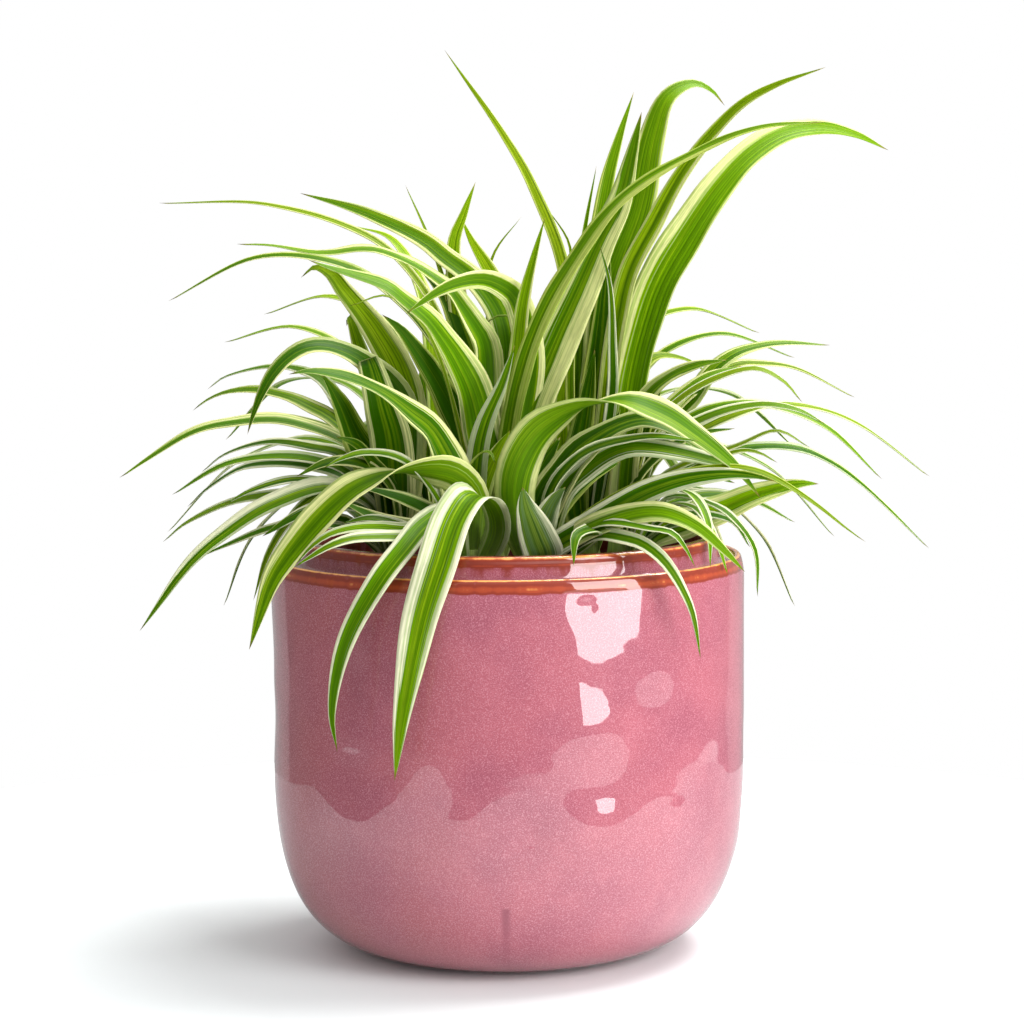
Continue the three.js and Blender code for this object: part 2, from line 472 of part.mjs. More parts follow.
// A blade's width at a share t of its length, as a share of its greatest width.
function widthShare(t) {
  if (t < WIDEST_AT) {
    return 1 - (1 - BASE_SHARE) * Math.pow(1 - t / WIDEST_AT, 2);
  }
  return 1 - Math.pow((t - WIDEST_AT) / (1 - WIDEST_AT), TIP_TAPER);
}

// The part of a direction that lies square to the blade's run, at unit length.
function squareTo(run, direction) {
  return direction.clone().addScaledVector(run, -direction.dot(run)).normalize();
}

// A blade is a closed strip of four-cornered sections: left edge, rib, right edge and
// keel. Its upper side faces the crown's axis at the root, and turns to the eye as its
// leaf says. The last section runs out to a point.
function blade(crown, [width, turnAtRoot, turnAtTip, ...points]) {
  const curve = midrib(crown, points);
  const segments = Math.max(FEWEST_SEGMENTS, Math.round(curve.getLength() / SEGMENT_LENGTH));
  const vertices = [];
  const triangles = [];
  const addVertex = (point) => vertices.push(point.x, point.y, point.z);
  const start = curve.getPointAt(0);
  const reach = curve.getPointAt(1).sub(start);
  let up = new THREE.Vector3(-reach.x, -reach.y, 0);
  for (let i = 0; i < segments; i += 1) {
    const t = i / segments;
    const point = curve.getPointAt(t);
    const run = curve.getTangentAt(t);
    up = squareTo(run, up);
    const twist = THREE.MathUtils.smoothstep(t, TWIST_START, TWIST_END);
    const turn = THREE.MathUtils.degToRad(turnAtRoot + (turnAtTip - turnAtRoot) * twist);
    const facing = up.clone().multiplyScalar(Math.cos(turn)).addScaledVector(TO_EYE, Math.sin(turn));
    const normal = squareTo(run, facing);
    const half = (width / 2) * widthShare(t);
    const side = new THREE.Vector3().crossVectors(run, normal).multiplyScalar(half);
    const edge = point.clone().addScaledVector(normal, CHANNEL * half);
    addVertex(edge.clone().sub(side));
    addVertex(point);
    addVertex(edge.clone().add(side));
    addVertex(point.clone().addScaledVector(normal, -BLADE_THICKNESS));
  }
  addVertex(curve.getPointAt(1));
  const tip = 4 * segments;
  triangles.push(0, 3, 1, 1, 3, 2);
  for (let i = 0; i < segments; i += 1) {
    for (let corner = 0; corner < 4; corner += 1) {
      const a = 4 * i + corner;
      const b = 4 * i + ((corner + 1) % 4);
      if (i === segments - 1) {
        triangles.push(a, b, tip);
      } else if (corner % 2 === 0) {
        triangles.push(a, b, b + 4, a, b + 4, a + 4);
      } else {
        triangles.push(a, b, a + 4, b, b + 4, a + 4);
      }
    }
  }
  return solidFrom(vertices, triangles);
}

// The outer skin of a solid, so that a hollow sealed between its blades is filled.
function filled(solid) {
  return solid.decompose().reduce((best, body) => (body.volume() > best.volume() ? body : best));
}

function rosette(name, { crown, leaves }) {
  let solid = crownStub(crown);
  for (const leaf of leaves) {
    solid = solid.add(blade(crown, leaf));
  }
  const mesh = new THREE.Mesh(geometryFrom(filled(solid)), material(LEAF_COLOR, LEAF_ROUGHNESS));
  mesh.name = name;
  return mesh;
}

const plant = new THREE.Group();
plant.add(pot());
plant.add(soil());
for (const [name, parts] of Object.entries(ROSETTES)) {
  plant.add(rosette(name, parts));
}

export default plant;
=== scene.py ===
import math
import random

import bpy
import numpy as np
from mathutils import Matrix, Vector, noise


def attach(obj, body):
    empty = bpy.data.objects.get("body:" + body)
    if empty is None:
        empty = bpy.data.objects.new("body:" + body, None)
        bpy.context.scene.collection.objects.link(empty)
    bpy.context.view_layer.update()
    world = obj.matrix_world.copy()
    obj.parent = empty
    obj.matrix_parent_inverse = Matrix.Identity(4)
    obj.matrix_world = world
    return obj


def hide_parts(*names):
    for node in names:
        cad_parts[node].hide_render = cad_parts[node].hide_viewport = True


MM = 0.001
FRONT = Vector((0.0, -1.0, 0.0))
QUARTER_TURN = math.pi / 2
FULL_TURN = math.pi * 2

# The camera: its place, how far it looks down and rolls, in radians, and its lens.
EYE = Vector((2.4, -1200.0, 290.0))
CAMERA_TILT = 0.0955
CAMERA_ROLL = -0.0077
SENSOR_WIDTH = 36.0
FOCAL_LENGTH = 105.6

# The pot, as in the solids.
POT_RADIUS = 95.3
FOOT_RADIUS = 37.0
ROUNDING_HEIGHT = 90.0
ROUNDING_POWER = 2 / 3
RIM_EDGE_RADIUS = 93.0
RIM_EDGE_HEIGHT = 158.5
SHOULDER_DROP = 10.0
LEDGE_DIP = 2.0
COLLAR_RADIUS = 85.5
COLLAR_TOP = 166.3
LIP_THICKNESS = 6.0
WALL = 8.0
FLOOR_THICKNESS = 9.0

# The pot's finer form.
POT_SIDES = 320
ROUNDING_STEPS = 44
WALL_STEPS = 36
LIP_STEPS = 6
LIP_ROUND = 1.6
EDGE_ROUND = 0.7
SHOULDER_SHARES = (0.0, 0.2, 0.36, 0.44, 0.5, 0.56, 0.64, 0.7, 0.76, 0.84, 0.92)
SHOULDER_POWER = 2.2
LEDGE_SHARES = (0.25, 0.45, 0.65, 0.85)

# The hand-made unevenness of its outside, which ends halfway up the rim's shoulder: long
# swells and short ripples, how far each stands out, how closely it repeats and where in
# the noise it starts, and the dents placed by chance, whose height, radius, angle and
# depth are drawn from the spans. A fade is by what share, from what height to what height;
# over the foot all of it fades in.
UNEVEN_TOP = 153.8
BROAD_SWELL = 0.3
BROAD_PITCH = 0.016
BROAD_FLATTENING = 0.8
BROAD_START = Vector((3.1, 0.4, 7.7))
RIPPLE_SWELL = 0.12
RIPPLE_PITCH = 0.036
RIPPLE_START = Vector((11.3, 5.2, 0.9))
BACK_DENTS = 26
BACK_DENTS_SEED = 7
BACK_DENT_SPANS = ((40.0, 135.0), (8.0, 15.0), (75.0, 285.0), (-0.7, 1.0))
SWELL_FADE = (0.85, 140.0, 156.0)
DENT_FADE = (0.5, 149.0, 158.0)
FOOT_FADE = (2.0, 30.0)

# Shallow dents (or, negative, swells) that the potter's hands left in the front of the
# wall: the angle from the front toward the right, in degrees, the height, the radius and
# the depth. The first two bend the light's mirror image under the rim, and the last and
# widest is the left wall, pressed in.
DENTS = [
    (20.5, 153.0, 13.0, 0.75),
    (18.5, 147.5, 4.5, 0.6),
    (18.8, 99.0, 11.0, -0.65),
    (22.8, 80.5, 13.0, 1.5),
    (36.5, 104.0, 14.0, 1.2),
    (43.0, 74.0, 9.0, 0.5),
    (57.0, 98.0, 14.0, -0.8),
    (-17.5, 96.0, 11.0, -0.45),
    (-18.5, 71.0, 8.0, 0.62),
    (5.4, 62.0, 8.0, 1.3),
    (-10.0, 62.0, 9.0, -0.45),
    (4.0, 93.0, 13.0, -0.2),
    (-35.0, 58.0, 12.0, -0.35),
    (-39.5, 82.0, 14.0, 1.1),
    (-38.0, 118.0, 14.0, 1.1),
    (-62.0, 100.0, 12.0, 0.5),
    (-90.0, 100.0, 45.0, 2.2),
]

# A thin brown run in the glaze, low on the pot's front: its place from left to right, its
# heights, its half width and how softly it starts.
RUN_X = -1.0
RUN_TOP = 33.0
RUN_END = 8.0
RUN_WIDTH = 2.6
RUN_FADE = 1.5

# The soil and the crowns. A lump of the soil is how high it stands, how closely it
# repeats, and where in the noise it starts.
SOIL_GAP = 0.3
SOIL_TOP = 142.0
SOIL_RINGS = 70
SOIL_SIDES = 160
SOIL_LUMPS = ((1.4, 0.05, (0, 0, 0)), (1.3, 0.22, (4, 9, 2)), (0.6, 0.6, (1, 2, 8)))
CROWN_RADIUS = 8.0
CROWN_TIP_RADIUS = 5.0
CROWN_HEIGHT = 22.0
CROWN_DEPTH = 8.0
CROWN_SIDES = 20
CROWN_RINGS = 8
CROWN_RIDGE = 0.05
CROWN_RIDGES = 5

# The leaves: how each leaves its crown, how its width and its turn run from root to tip,
# its section, and the waves of its width and of its edges.
ROOT_HEIGHT = 14.0
ROOT_SPREAD = 7.0
BASE_SHARE = 0.45
WIDEST_AT = 0.35
TIP_TAPER = 2.2
TWIST_START = 0.15
TWIST_END = 0.75
STATION_STEP = 3.6
FEWEST_STATIONS = 26
CURVE_STEPS = 24
COLUMNS = 11
RIB_THICKNESS = 0.9
EDGE_THICKNESS = 0.3
TIP_THINNING = 0.6
ROOT_CHANNEL = 0.35
TIP_CHANNEL = 0.1
CHANNEL_END = 0.7
CHANNEL_ROUND = 0.3
WIDTH_WAVE = 0.04
EDGE_WAVE = 0.06
WAVELENGTHS = (22.0, 38.0)
TONES = (0.88, 1.1)

# Colours, as sRGB.
ROSE = (170, 91, 103)
MAUVE = (154, 80, 96)
BLUSH = (185, 106, 118)
DARK_GRAIN = (132, 62, 78)
PALE_GRAIN = (206, 142, 154)
# Painted shade: the darker, warmer colour given to the pot's left side, where it stands in the lamps'
# shade.
PAINTED_LEFT_SHADE = (146, 72, 70)
BROWN = (134, 47, 29)
ORANGE = (162, 64, 34)
AMBER = (236, 160, 84)
SOIL_DARK = (26, 18, 12)
SOIL_BROWN = (62, 44, 30)
SOIL_FIBRE = (120, 92, 62)
GREENS = {
    "sunny": (172, 208, 16),
    "vivid": (131, 178, 4),
    "green": (104, 154, 4),
    "deep": (66, 122, 2),
    "olive": (150, 176, 18),
    "grey": (120, 150, 92),
    "sheath": (190, 206, 130),
}
EDGES = {
    "lime": (212, 222, 116),
    "cream": (243, 242, 172),
    "ivory": (251, 249, 216),
}
SHADE = (198, 212, 140)
GLOW = (160, 192, 10)
STREAK = (196, 220, 36)
VEIN = (40, 82, 2)
DRY_TIP = (150, 116, 66)
ROOT_PALE = (190, 208, 128)
UNDERSIDE = (116, 152, 34)
TABLE_TONES = ((240, 245, 245), (236, 241, 241))
TABLE_MIRRORED = (90, 80, 84)

# A spread is (low, high, to_low, to_high): as a value goes from low to high, what it
# steers goes from to_low to to_high.
#
# The glaze's and the soil's patterns: how often each changes in a metre, and the painted shade on the pot's
# left side, a darker, warmer glaze colour standing in for the shade there, spread over metres from left to
# right.
CLOUDS = 22.0
RIPPLES = 60.0
PATCHES = 75.0
STREAKS = 160.0
CRYSTALS = 2100.0
GRAIN = 2400.0
PAINTED_SHADE_SPREAD = (-0.085, -0.02, 0.6, 0.0)
SOIL_GRAIN = 180.0
SOIL_FIBRES = 700.0

# The blades' patterns: how often each changes in a millimetre across and along the blade,
# how far it moves on from leaf to leaf, and its detail.
LEAF_PATTERNS = {
    "bands": (0.32, 0.004, 1.0, 1.0),
    "stripes": (0.85, 0.006, 1.7, 1.0),
    "veins": (1.1, 0.012, 2.3, 1.0),
    "lines": (1.3, 0.007, 3.1, 1.0),
    "fibres": (1.5, 0.2, 4.1, 1.0),
    "blotches": (0.12, 0.03, 1.1, 2.0),
}
RIB_LINE_PHASE = 4.6
RIB_LINE_SWAY = 9.0
MARGIN_SPREAD = 2.4
MARGIN_WAVER = 0.07
MARGIN_SOFTNESS = 0.022
SHINE_THROUGH = 0.34

# The table, and the levels of light that surround the object. What is named MIRRORED
# stands in for its plain fellow where the gloss mirrors it, and there the table is dimmed,
# spread over metres from front to back. The ceiling is spread over how steeply one looks
# up, and the paper below the table's edge over how far to the right.
TABLE_RADIUS = 430.0
TABLE_SIDES = 128
TABLE_MOTTLE = 3.0
TABLE_DIMMING = (-0.08, 0.08, 0.15, 0.6)
BACKDROP_ANGLE = math.radians(45)
BACKDROP_SOFTNESS = 0.02
WORLD_FILL = 0.85
WORLD_FRONT_MIRRORED = 0.22
WORLD_BACK = 1.0
WORLD_BACK_MIRRORED = 0.6
CEILING = (0.35, 0.75, 0.0, 0.75)
PAPER = (-0.3, 0.5, 0.4, 2.0)
BELOW_TABLE = (-0.213, -0.207, 1.0, 0.0)

# The lamps: place, width and height, power in watts, and the point that each looks at.
LAMPS = {
    "key_softbox": ((980, -880, 480), (760, 1100), 21.0, (0, 0, 200)),
    "top_softbox": ((420, 250, 1100), (700, 700), 20.0, (0, 0, 100)),
}

# Each rosette has its crown's place on the soil, and then its leaves. A leaf is the green
# of its middle, the colour of its margins, the share of its width that the margin at each
# side takes, its width, how far its upper side turns to the eye (or, negative, away from
# it) at the root and at the tip, in degrees, and its midrib. A point (x, z, depth) of the
# midrib appears at x and z on the plane through the pot's axis, seen from the eye, and
# lies depth behind it.
ROSETTES = {
    "rosette_center_left": [
        (-6, 4),
        ("olive", "lime", 0.12, 0.12, 5.5, 60, 50, (8, 200, 9), (22, 235, 13), (24, 270, 16), (12, 304, 24),
         (1, 324, 32), (-23, 359, 46)),
        ("sunny", "cream", 0.14, 0.12, 11, 60, 60, (-16, 240, 16), (-20, 282, 22), (-16, 294, 24),
         (-11, 307, 26)),
        ("sunny", "cream", 0.12, 0.14, 12, 60, 60, (-4, 230, 20), (-2, 262, 24), (-6, 272, 25),
         (-13, 284, 27), (-17, 293, 29)),
        ("olive", "lime", 0, 0, 2.5, 40, 40, (-6, 235, 26), (-5, 276, 32), (7, 293, 36)),
        ("olive", "lime", 0, 0, 2.5, 40, 40, (18, 240, 22), (26, 270, 26), (26, 282, 28), (16, 298, 34)),
        ("sunny", "cream", 0.1, 0.16, 8, 75, 70, (2, 212, -10), (5, 238, -14), (7.6, 259, -18),
         (12.5, 279, -23), (16.5, 293, -27)),
        ("green", "cream", 0.22, 0.3, 19, 80, 70, (8, 212, -2), (19, 240, -3), (30, 264, -3), (38, 282, -3),
         (46, 298, -5), (51, 317, -10), (55, 334, -16)),
        ("vivid", "lime", 0.1, 0.42, 10, 60, 40, (2, 206, -14), (6, 226, -21), (14, 250, -26),
         (26, 272, -27), (47, 299.5, -31), (78, 318.5, -40), (102, 327.5, -48), (128, 329.5, -56)),
        ("olive", "cream", 0.15, 0.15, 4.5, 35, 35, (-20, 235, 20), (-32, 264, 27), (-51, 284, 34),
         (-93, 298.5, 48), (-137, 299.5, 62)),
        ("green", "cream", 0.14, 0.16, 12, 70, 50, (0, 228, 6), (0, 245, 8), (-3, 256, 9), (-9, 265, 11),
         (-15, 271, 13), (-23, 277, 15), (-31, 283.5, 18), (-51, 293.5, 24), (-65, 298.5, 29),
         (-81, 303, 36)),
        ("green", "cream", 0.14, 0.18, 14, 80, 20, (-7, 225, -4), (-8.3, 243, -6), (-12.2, 250.4, -8),
         (-17.4, 258.2, -10), (-22, 264.7, -12), (-33.7, 273, -15), (-49, 279.9, -19), (-57, 280.6, -21),
         (-69, 279.4, -24), (-76, 279.4, -26), (-93, 282.5, -31), (-106.4, 283, -34)),
        ("green", "cream", 0.12, 0.16, 6, 35, 35, (-20, 228, 12), (-30, 246, 13), (-42, 260, 13),
         (-53, 269, 13), (-64, 274.5, 14), (-76, 277.6, 14), (-86, 278.6, 14), (-97, 278, 14),
         (-106, 275.5, 14), (-134, 260.5, 12)),
        ("green", "cream", 0.04, 0.14, 17, 85, 40, (-7, 196, -8), (-9.5, 207, -12), (-11, 216, -15),
         (-14, 226, -19), (-20, 238, -24), (-25.2, 245.8, -28), (-30.4, 252.6, -31), (-39.5, 260.4, -36),
         (-46, 265.6, -39), (-59.7, 270.4, -43), (-69.4, 273.4, -45), (-78, 276.5, -47)),
        ("green", "cream", 0.2, 0.18, 13, 60, 80, (8, 222, -4), (9.5, 238, -7), (8, 250, -9),
         (4.4, 260.8, -13), (0, 264.8, -17), (-6, 267.6, -21), (-12.2, 268, -26), (-20.7, 266, -32),
         (-27.2, 263, -36), (-33.7, 258.8, -40), (-39.5, 254.6, -44)),
        ("olive", "lime", 0.1, 0.1, 3.5, 30, 30, (-20, 250, 18), (-28, 280, 24), (-39, 306, 30)),
        ("olive", "lime", 0.1, 0.1, 4, 30, 30, (-30, 246, -4), (-46, 262, -6), (-62, 258, -10)),
        ("deep", "lime", 0.1, 0.1, 15, 70, 60, (-16, 205, 4), (-22, 218, 2), (-29.1, 230.9, 0),
         (-36.9, 242.6, -2), (-42.1, 249.1, -3), (-48.9, 254.6, -4)),
        ("deep", "lime", 0.12, 0.1, 12, 50, 50, (-10, 210, 10), (-16, 240, 14), (-24, 262, 20),
         (-36, 276, 28)),
        ("deep", "lime", 0.2, 0.2, 4, 30, 30, (10, 230, 0), (8, 250, 0), (-2, 254, 0), (-14, 245, 0)),
    ],
    "rosette_center_right": [
        (32, 18),
        ("vivid", "cream", 0.22, 0.04, 17, 60, 60, (46.5, 205, 17), (50, 228, 18), (54, 245, 20),
         (61, 266, 23), (72, 285, 27), (85, 304, 33), (97, 317, 40), (110, 325, 48), (126, 327.5, 58),
         (140, 324.5, 66), (153, 318, 76)),
        ("sunny", "cream", 0.08, 0.2, 9.5, 60, 60, (40, 212, 19), (45, 250, 20), (50, 271, 20),
         (60.5, 291, 17), (70.5, 309, 13), (82, 324, 8), (95, 337, 2), (108, 344, -4), (128, 351, -16)),
        ("vivid", "cream", 0.1, 0.06, 18, 75, 50, (39, 230, 28), (43.5, 268, 36), (53.5, 296, 43),
         (59.5, 325, 51), (65.5, 340, 56), (76, 345, 63), (83, 342, 67), (88, 336, 70)),
        ("vivid", "lime", 0.16, 0.1, 10, 70, 70, (31, 240, 34), (36, 275, 42), (41, 306, 50), (46, 324, 56),
         (52, 342, 63)),
        ("vivid", "lime", 0.2, 0.1, 4, 60, 60, (26, 230, 28), (31, 280, 27), (37, 313, 22)),
        ("deep", "ivory", 0.18, 0.18, 5, 60, 60, (40, 200, 8), (43, 225, 0), (43, 240, -4), (42, 266, -8),
         (38, 282, -10)),
        ("deep", "lime", 0.1, 0.1, 12, 70, 70, (34, 210, 25), (38, 240, 28), (40, 262, 30), (42, 284, 32)),
        ("olive", "lime", 0.1, 0.1, 6, 60, 60, (40, 205, 26), (46, 224, 30), (50, 255, 36), (53, 282, 42)),
        ("olive", "lime", 0, 0, 2.5, 40, 40, (46, 240, 40), (56, 285, 50), (64, 294, 54)),
        ("olive", "lime", 0.1, 0.1, 8, 30, 30, (46, 210, 30), (58, 236, 42), (72, 236, 52), (84, 228, 60)),
        ("deep", "lime", 0.1, 0.1, 13, 60, 60, (28, 190, 14), (32, 215, 11), (36, 240, 9)),
        ("deep", "lime", 0.1, 0.1, 11, 55, 50, (37, 185, 15), (41, 205, 17), (47, 222, 20)),
    ],
    "rosette_left": [
        (-44, 0),
        ("deep", "cream", 0.12, 0.12, 13, 85, 40, (-40, 212, -2), (-43, 222, -4), (-47, 227.5, -6),
         (-53.2, 233.3, -8), (-59.7, 238, -11), (-66.2, 240.9, -15), (-73, 242.3, -19), (-80, 241.5, -23),
         (-87, 237.5, -28), (-93, 231, -33), (-98, 222, -37), (-101.5, 213, -39), (-103.3, 207, -40)),
        ("green", "ivory", 0.14, 0.14, 8, 45, 25, (-58, 205, 6), (-66, 218.3, 10), (-70.4, 225.5, 13),
         (-75.4, 230.2, 17), (-82.6, 233.2, 20), (-90.6, 234.2, 26), (-98, 233.8, 29), (-106.4, 232.1, 33),
         (-113.6, 229.5, 36), (-119, 225.2, 38)),
        ("green", "cream", 0.14, 0.14, 10, 45, 25, (-56, 198, 2), (-70, 213.5, 5), (-78, 218, 7),
         (-85, 221.5, 8), (-92, 223.5, 10), (-99, 225, 12), (-106, 225, 13), (-114, 223.4, 14),
         (-121, 220, 16), (-125, 216.7, 16)),
        ("green", "cream", 0.12, 0.2, 9, 30, 30, (-56, 196, -4), (-85, 212, -13), (-110, 212, -20),
         (-126, 208, -26), (-155, 190, -36)),
        ("green", "ivory", 0.14, 0.14, 6, 30, 30, (-60, 202, 10), (-85, 214, 22), (-100, 215, 30)),
        ("deep", "ivory", 0.16, 0.2, 7, 30, 30, (-62, 196, 8), (-78, 202, 18), (-95, 204, 28),
         (-113, 199, 40), (-122, 192, 46)),
        ("green", "ivory", 0.14, 0.2, 8, 30, 30, (-60, 188, -2), (-77, 197, -5), (-110, 196, -11),
         (-134, 183, -15)),
        ("deep", "ivory", 0.2, 0.2, 7, 30, 30, (-62, 188, 8), (-101, 195, 20), (-119, 186, 28),
         (-128, 178, 32)),
        ("deep", "ivory", 0.16, 0.2, 7, 30, 30, (-62, 182, -10), (-82, 189, -20), (-101, 185, -30),
         (-113, 179, -36)),
        ("green", "ivory", 0.16, 0.16, 8, 30, 30, (-64, 178, 6), (-101, 182, 11), (-128, 172, 15),
         (-138, 164, 16)),
        ("green", "ivory", 0.1, 0.3, 9, 35, 35, (-54, 178, -10), (-70, 186, -22), (-93, 180, -34),
         (-110, 170, -41), (-126, 157, -47), (-148, 128, -54)),
        ("deep", "ivory", 0.18, 0.18, 6, 30, 30, (-64, 172, -2), (-92, 170, -3), (-114, 162, -3),
         (-123, 158, -3)),
        ("olive", "ivory", 0.14, 0.14, 6, 20, 20, (-58, 180, -14), (-76, 182, -26), (-88, 171, -34),
         (-96, 158, -38), (-102, 140, -42)),
        ("olive", "ivory", 0.2, 0.2, 5, 30, 30, (-60, 170, 8), (-80, 174, 18), (-95, 171, 26)),
        ("sunny", "cream", 0.1, 0.14, 15.5, 75, 50, (-39.5, 205, 6), (-40, 221, 9), (-41.5, 228, 9),
         (-44.5, 236, 10), (-49, 244, 12), (-53.5, 251, 14), (-58.8, 258, 16), (-64.4, 265, 19),
         (-69, 271, 21), (-75.5, 273.6, 26), (-81, 269.4, 30)),
        ("sunny", "cream", 0.12, 0.12, 11, 75, 75, (-47, 205, 10), (-52, 225, 15), (-57.5, 240, 18),
         (-60.5, 250, 20), (-62, 254, 24), (-63, 250, 30)),
        ("deep", "cream", 0.1, 0.12, 17, 80, 80, (-46, 203, -10), (-49.5, 217.9, -18), (-51.5, 226.3, -20),
         (-53.3, 233, -20), (-54.6, 236.6, -16), (-55.5, 233, -9), (-57, 226, -3)),
        ("deep", "lime", 0.12, 0.12, 16, 75, 60, (-53, 192, -6), (-60, 205, -11), (-65.5, 218.5, -14),
         (-69.4, 225.5, -15), (-73.5, 231.6, -16)),
        ("deep", "cream", 0.12, 0.14, 11, 40, 30, (-46, 184, -14), (-56, 194, -22), (-70, 196, -30),
         (-84, 190, -37)),
        ("deep", "ivory", 0.14, 0.14, 9, 30, 30, (-50, 170, -12), (-62, 178, -24), (-80, 176, -36),
         (-98, 166, -43)),
        ("deep", "lime", 0.1, 0.1, 12, 60, 50, (-46, 184, -8), (-54, 196, -16), (-60, 203, -23),
         (-68, 206, -26)),
        ("deep", "ivory", 0.14, 0.14, 9, 40, 30, (-52, 160, -12), (-62, 168, -28), (-72, 170, -38),
         (-80, 166, -46)),
    ],
    "rosette_front_left": [
        (-14, -34),
        ("vivid", "cream", 0.1, 0.24, 15, -90, 70, (-13, 180, -41), (-18.5, 187.5, -46), (-24, 190.2, -49),
         (-31, 191.6, -52), (-39, 192, -55), (-47, 191.3, -58), (-53.5, 189.3, -60), (-61.3, 185.6, -63),
         (-68.4, 180.4, -65), (-75.6, 173.4, -66), (-82.6, 165.4, -66), (-89.6, 156.4, -66),
         (-95, 147.4, -66), (-104, 120, -63)),
        ("vivid", "ivory", 0.12, 0.24, 16, 0, 0, (-4.5, 168, -46), (-8, 179.5, -58), (-14.5, 182, -70),
         (-21, 173.5, -80), (-28, 154, -92), (-35, 132, -95), (-43, 91, -98), (-46, 66, -97)),
        ("green", "ivory", 0.14, 0.14, 10, 0, 0, (-22, 175, -50), (-32, 171, -66), (-41, 161, -81),
         (-51.5, 147.5, -89), (-65, 123, -87), (-71, 94, -84), (-69, 78, -84)),
        ("deep", "cream", 0.12, 0.12, 16, 65, 35, (-21.5, 190, -40), (-25.5, 200, -44), (-30.5, 208.5, -48),
         (-37.5, 214.5, -53), (-47.5, 222.5, -61), (-59.5, 228.5, -70), (-69.5, 231.3, -76),
         (-78.5, 232.3, -80), (-86.5, 231, -83)),
        ("green", "ivory", 0.2, 0.2, 9, 70, 70, (-11, 198, -30), (-8, 211, -30), (-1, 227, -30),
         (4, 242, -31)),
        ("green", "ivory", 0.2, 0.2, 7, 25, 15, (-28, 169, -50), (-40, 168.3, -60), (-50, 169.5, -68),
         (-61, 169.3, -74), (-71.4, 166.5, -78), (-78.4, 161.6, -79), (-85, 154.3, -79)),
        ("green", "ivory", 0.18, 0.22, 7, 20, 15, (-24, 164.5, -54), (-42, 165.5, -72), (-51, 165.6, -78),
         (-61.6, 165.1, -83), (-70, 162.5, -86), (-78.4, 157.8, -87), (-85.6, 153.2, -88)),
        ("green", "lime", 0.2, 0.2, 5, 50, 30, (-16, 190, -34), (-10, 199, -38), (-6, 199, -42),
         (-4, 194, -45)),
        ("deep", "lime", 0.1, 0.1, 12, 50, 40, (-17, 175, -33), (-23, 190, -30), (-31, 205, -28)),
        ("sunny", "cream", 0.1, 0.1, 11, 60, 60, (-11, 180, -31), (-5, 196, -27), (2, 208, -24)),
        ("green", "ivory", 0.16, 0.16, 7, 45, 35, (-26, 178, -44), (-33, 189, -50), (-38.5, 195, -54),
         (-45, 198.3, -58), (-52, 199.5, -62), (-59, 199.2, -65), (-67, 196.6, -68), (-73.5, 193, -71)),
        ("deep", "cream", 0.12, 0.12, 11, 40, 30, (-22, 170, -42), (-31, 176, -47), (-42, 181, -51),
         (-52, 184, -55), (-59, 185.5, -58)),
        ("deep", "cream", 0.1, 0.12, 10, 40, 40, (-24, 166, -38), (-36, 168, -42), (-47, 171, -45),
         (-58, 176, -48), (-66, 180, -50)),
        ("deep", "ivory", 0.14, 0.14, 8, 35, 30, (-28, 162, -40), (-41, 169, -47), (-54, 173, -51),
         (-66, 171, -54)),
    ],
    "rosette_front_right": [
        (12, -34),
        ("green", "cream", 0.12, 0.1, 17.5, -100, 45, (5, 168, -42), (3.6, 176, -44), (3.4, 185, -46),
         (5.9, 195, -48), (12.3, 205.8, -50), (20.8, 213, -52), (28.4, 216.9, -54), (35.1, 218.6, -55),
         (43.6, 219.8, -57), (50.4, 219.4, -58), (58.9, 216.2, -60), (67.4, 212, -62), (75.9, 206, -64),
         (84.4, 199.4, -66), (92.9, 191.7, -67), (102.2, 179.9, -68)),
        ("deep", "cream", 0.1, 0.1, 17, 60, 30, (15, 172, -38), (19, 183, -39), (23, 189, -40),
         (29.1, 197.4, -41), (37.6, 204.6, -43), (46, 209.3, -45), (54.6, 211.6, -47), (60.3, 210.8, -49),
         (67.5, 207.5, -51), (74.2, 202.9, -53), (81, 197, -55)),
        ("deep", "ivory", 0.14, 0.1, 9, 45, 30, (18, 182, -42), (28, 196, -49), (40, 202, -56),
         (58, 205, -66), (78, 203, -78)),
        ("grey", "ivory", 0.13, 0.13, 16, 88, 88, (15, 158, -56), (12.8, 164, -59), (9.9, 171.9, -62),
         (7.9, 178, -63), (6.7, 185, -64)),
        ("grey", "ivory", 0.14, 0.14, 11, 75, 75, (14, 166, -48), (17, 175, -52), (20, 180.5, -54),
         (24, 185, -57)),
        ("deep", "ivory", 0.14, 0.12, 8, 0, 0, (34, 166, -64), (34, 168, -76), (28, 165, -86),
         (27, 153, -93)),
        ("green", "ivory", 0.2, 0.16, 6, 30, 10, (32, 163, -60), (38, 165.5, -68), (46, 164.6, -76),
         (53.5, 162.6, -80), (60, 158.3, -83), (65, 153, -84), (70, 145, -84), (75, 133, -82),
         (78, 115, -80)),
        ("deep", "ivory", 0.14, 0.16, 11, 60, 45, (20, 161, -54), (32, 168, -58), (38, 172, -61),
         (47, 177.6, -64), (55, 181.9, -66), (64, 185.4, -68), (72, 187.6, -69), (82, 189.2, -70),
         (92, 189.6, -71), (101, 188.5, -72), (108, 186.5, -73)),
        ("green", "ivory", 0.18, 0.2, 12, 55, 40, (24, 183, -44), (33, 192, -48), (42, 198, -51),
         (50, 200.5, -53), (59, 200.3, -55), (67, 199, -57), (76, 197, -58), (84, 194.8, -60),
         (103, 190.5, -62)),
        ("vivid", "cream", 0.16, 0.14, 10, 45, 35, (28, 165, -58), (52, 174, -72), (64, 174.2, -77),
         (77, 168.5, -80), (88, 158.5, -81), (96, 150, -80)),
        ("green", "ivory", 0.16, 0.16, 6, 10, 10, (38, 170, -66), (58, 168, -80), (67, 166, -84),
         (72, 160, -86), (76, 152, -87)),
        ("deep", "lime", 0.1, 0.1, 13, 50, 40, (20, 176, -32), (32, 188, -29), (46, 195, -27)),
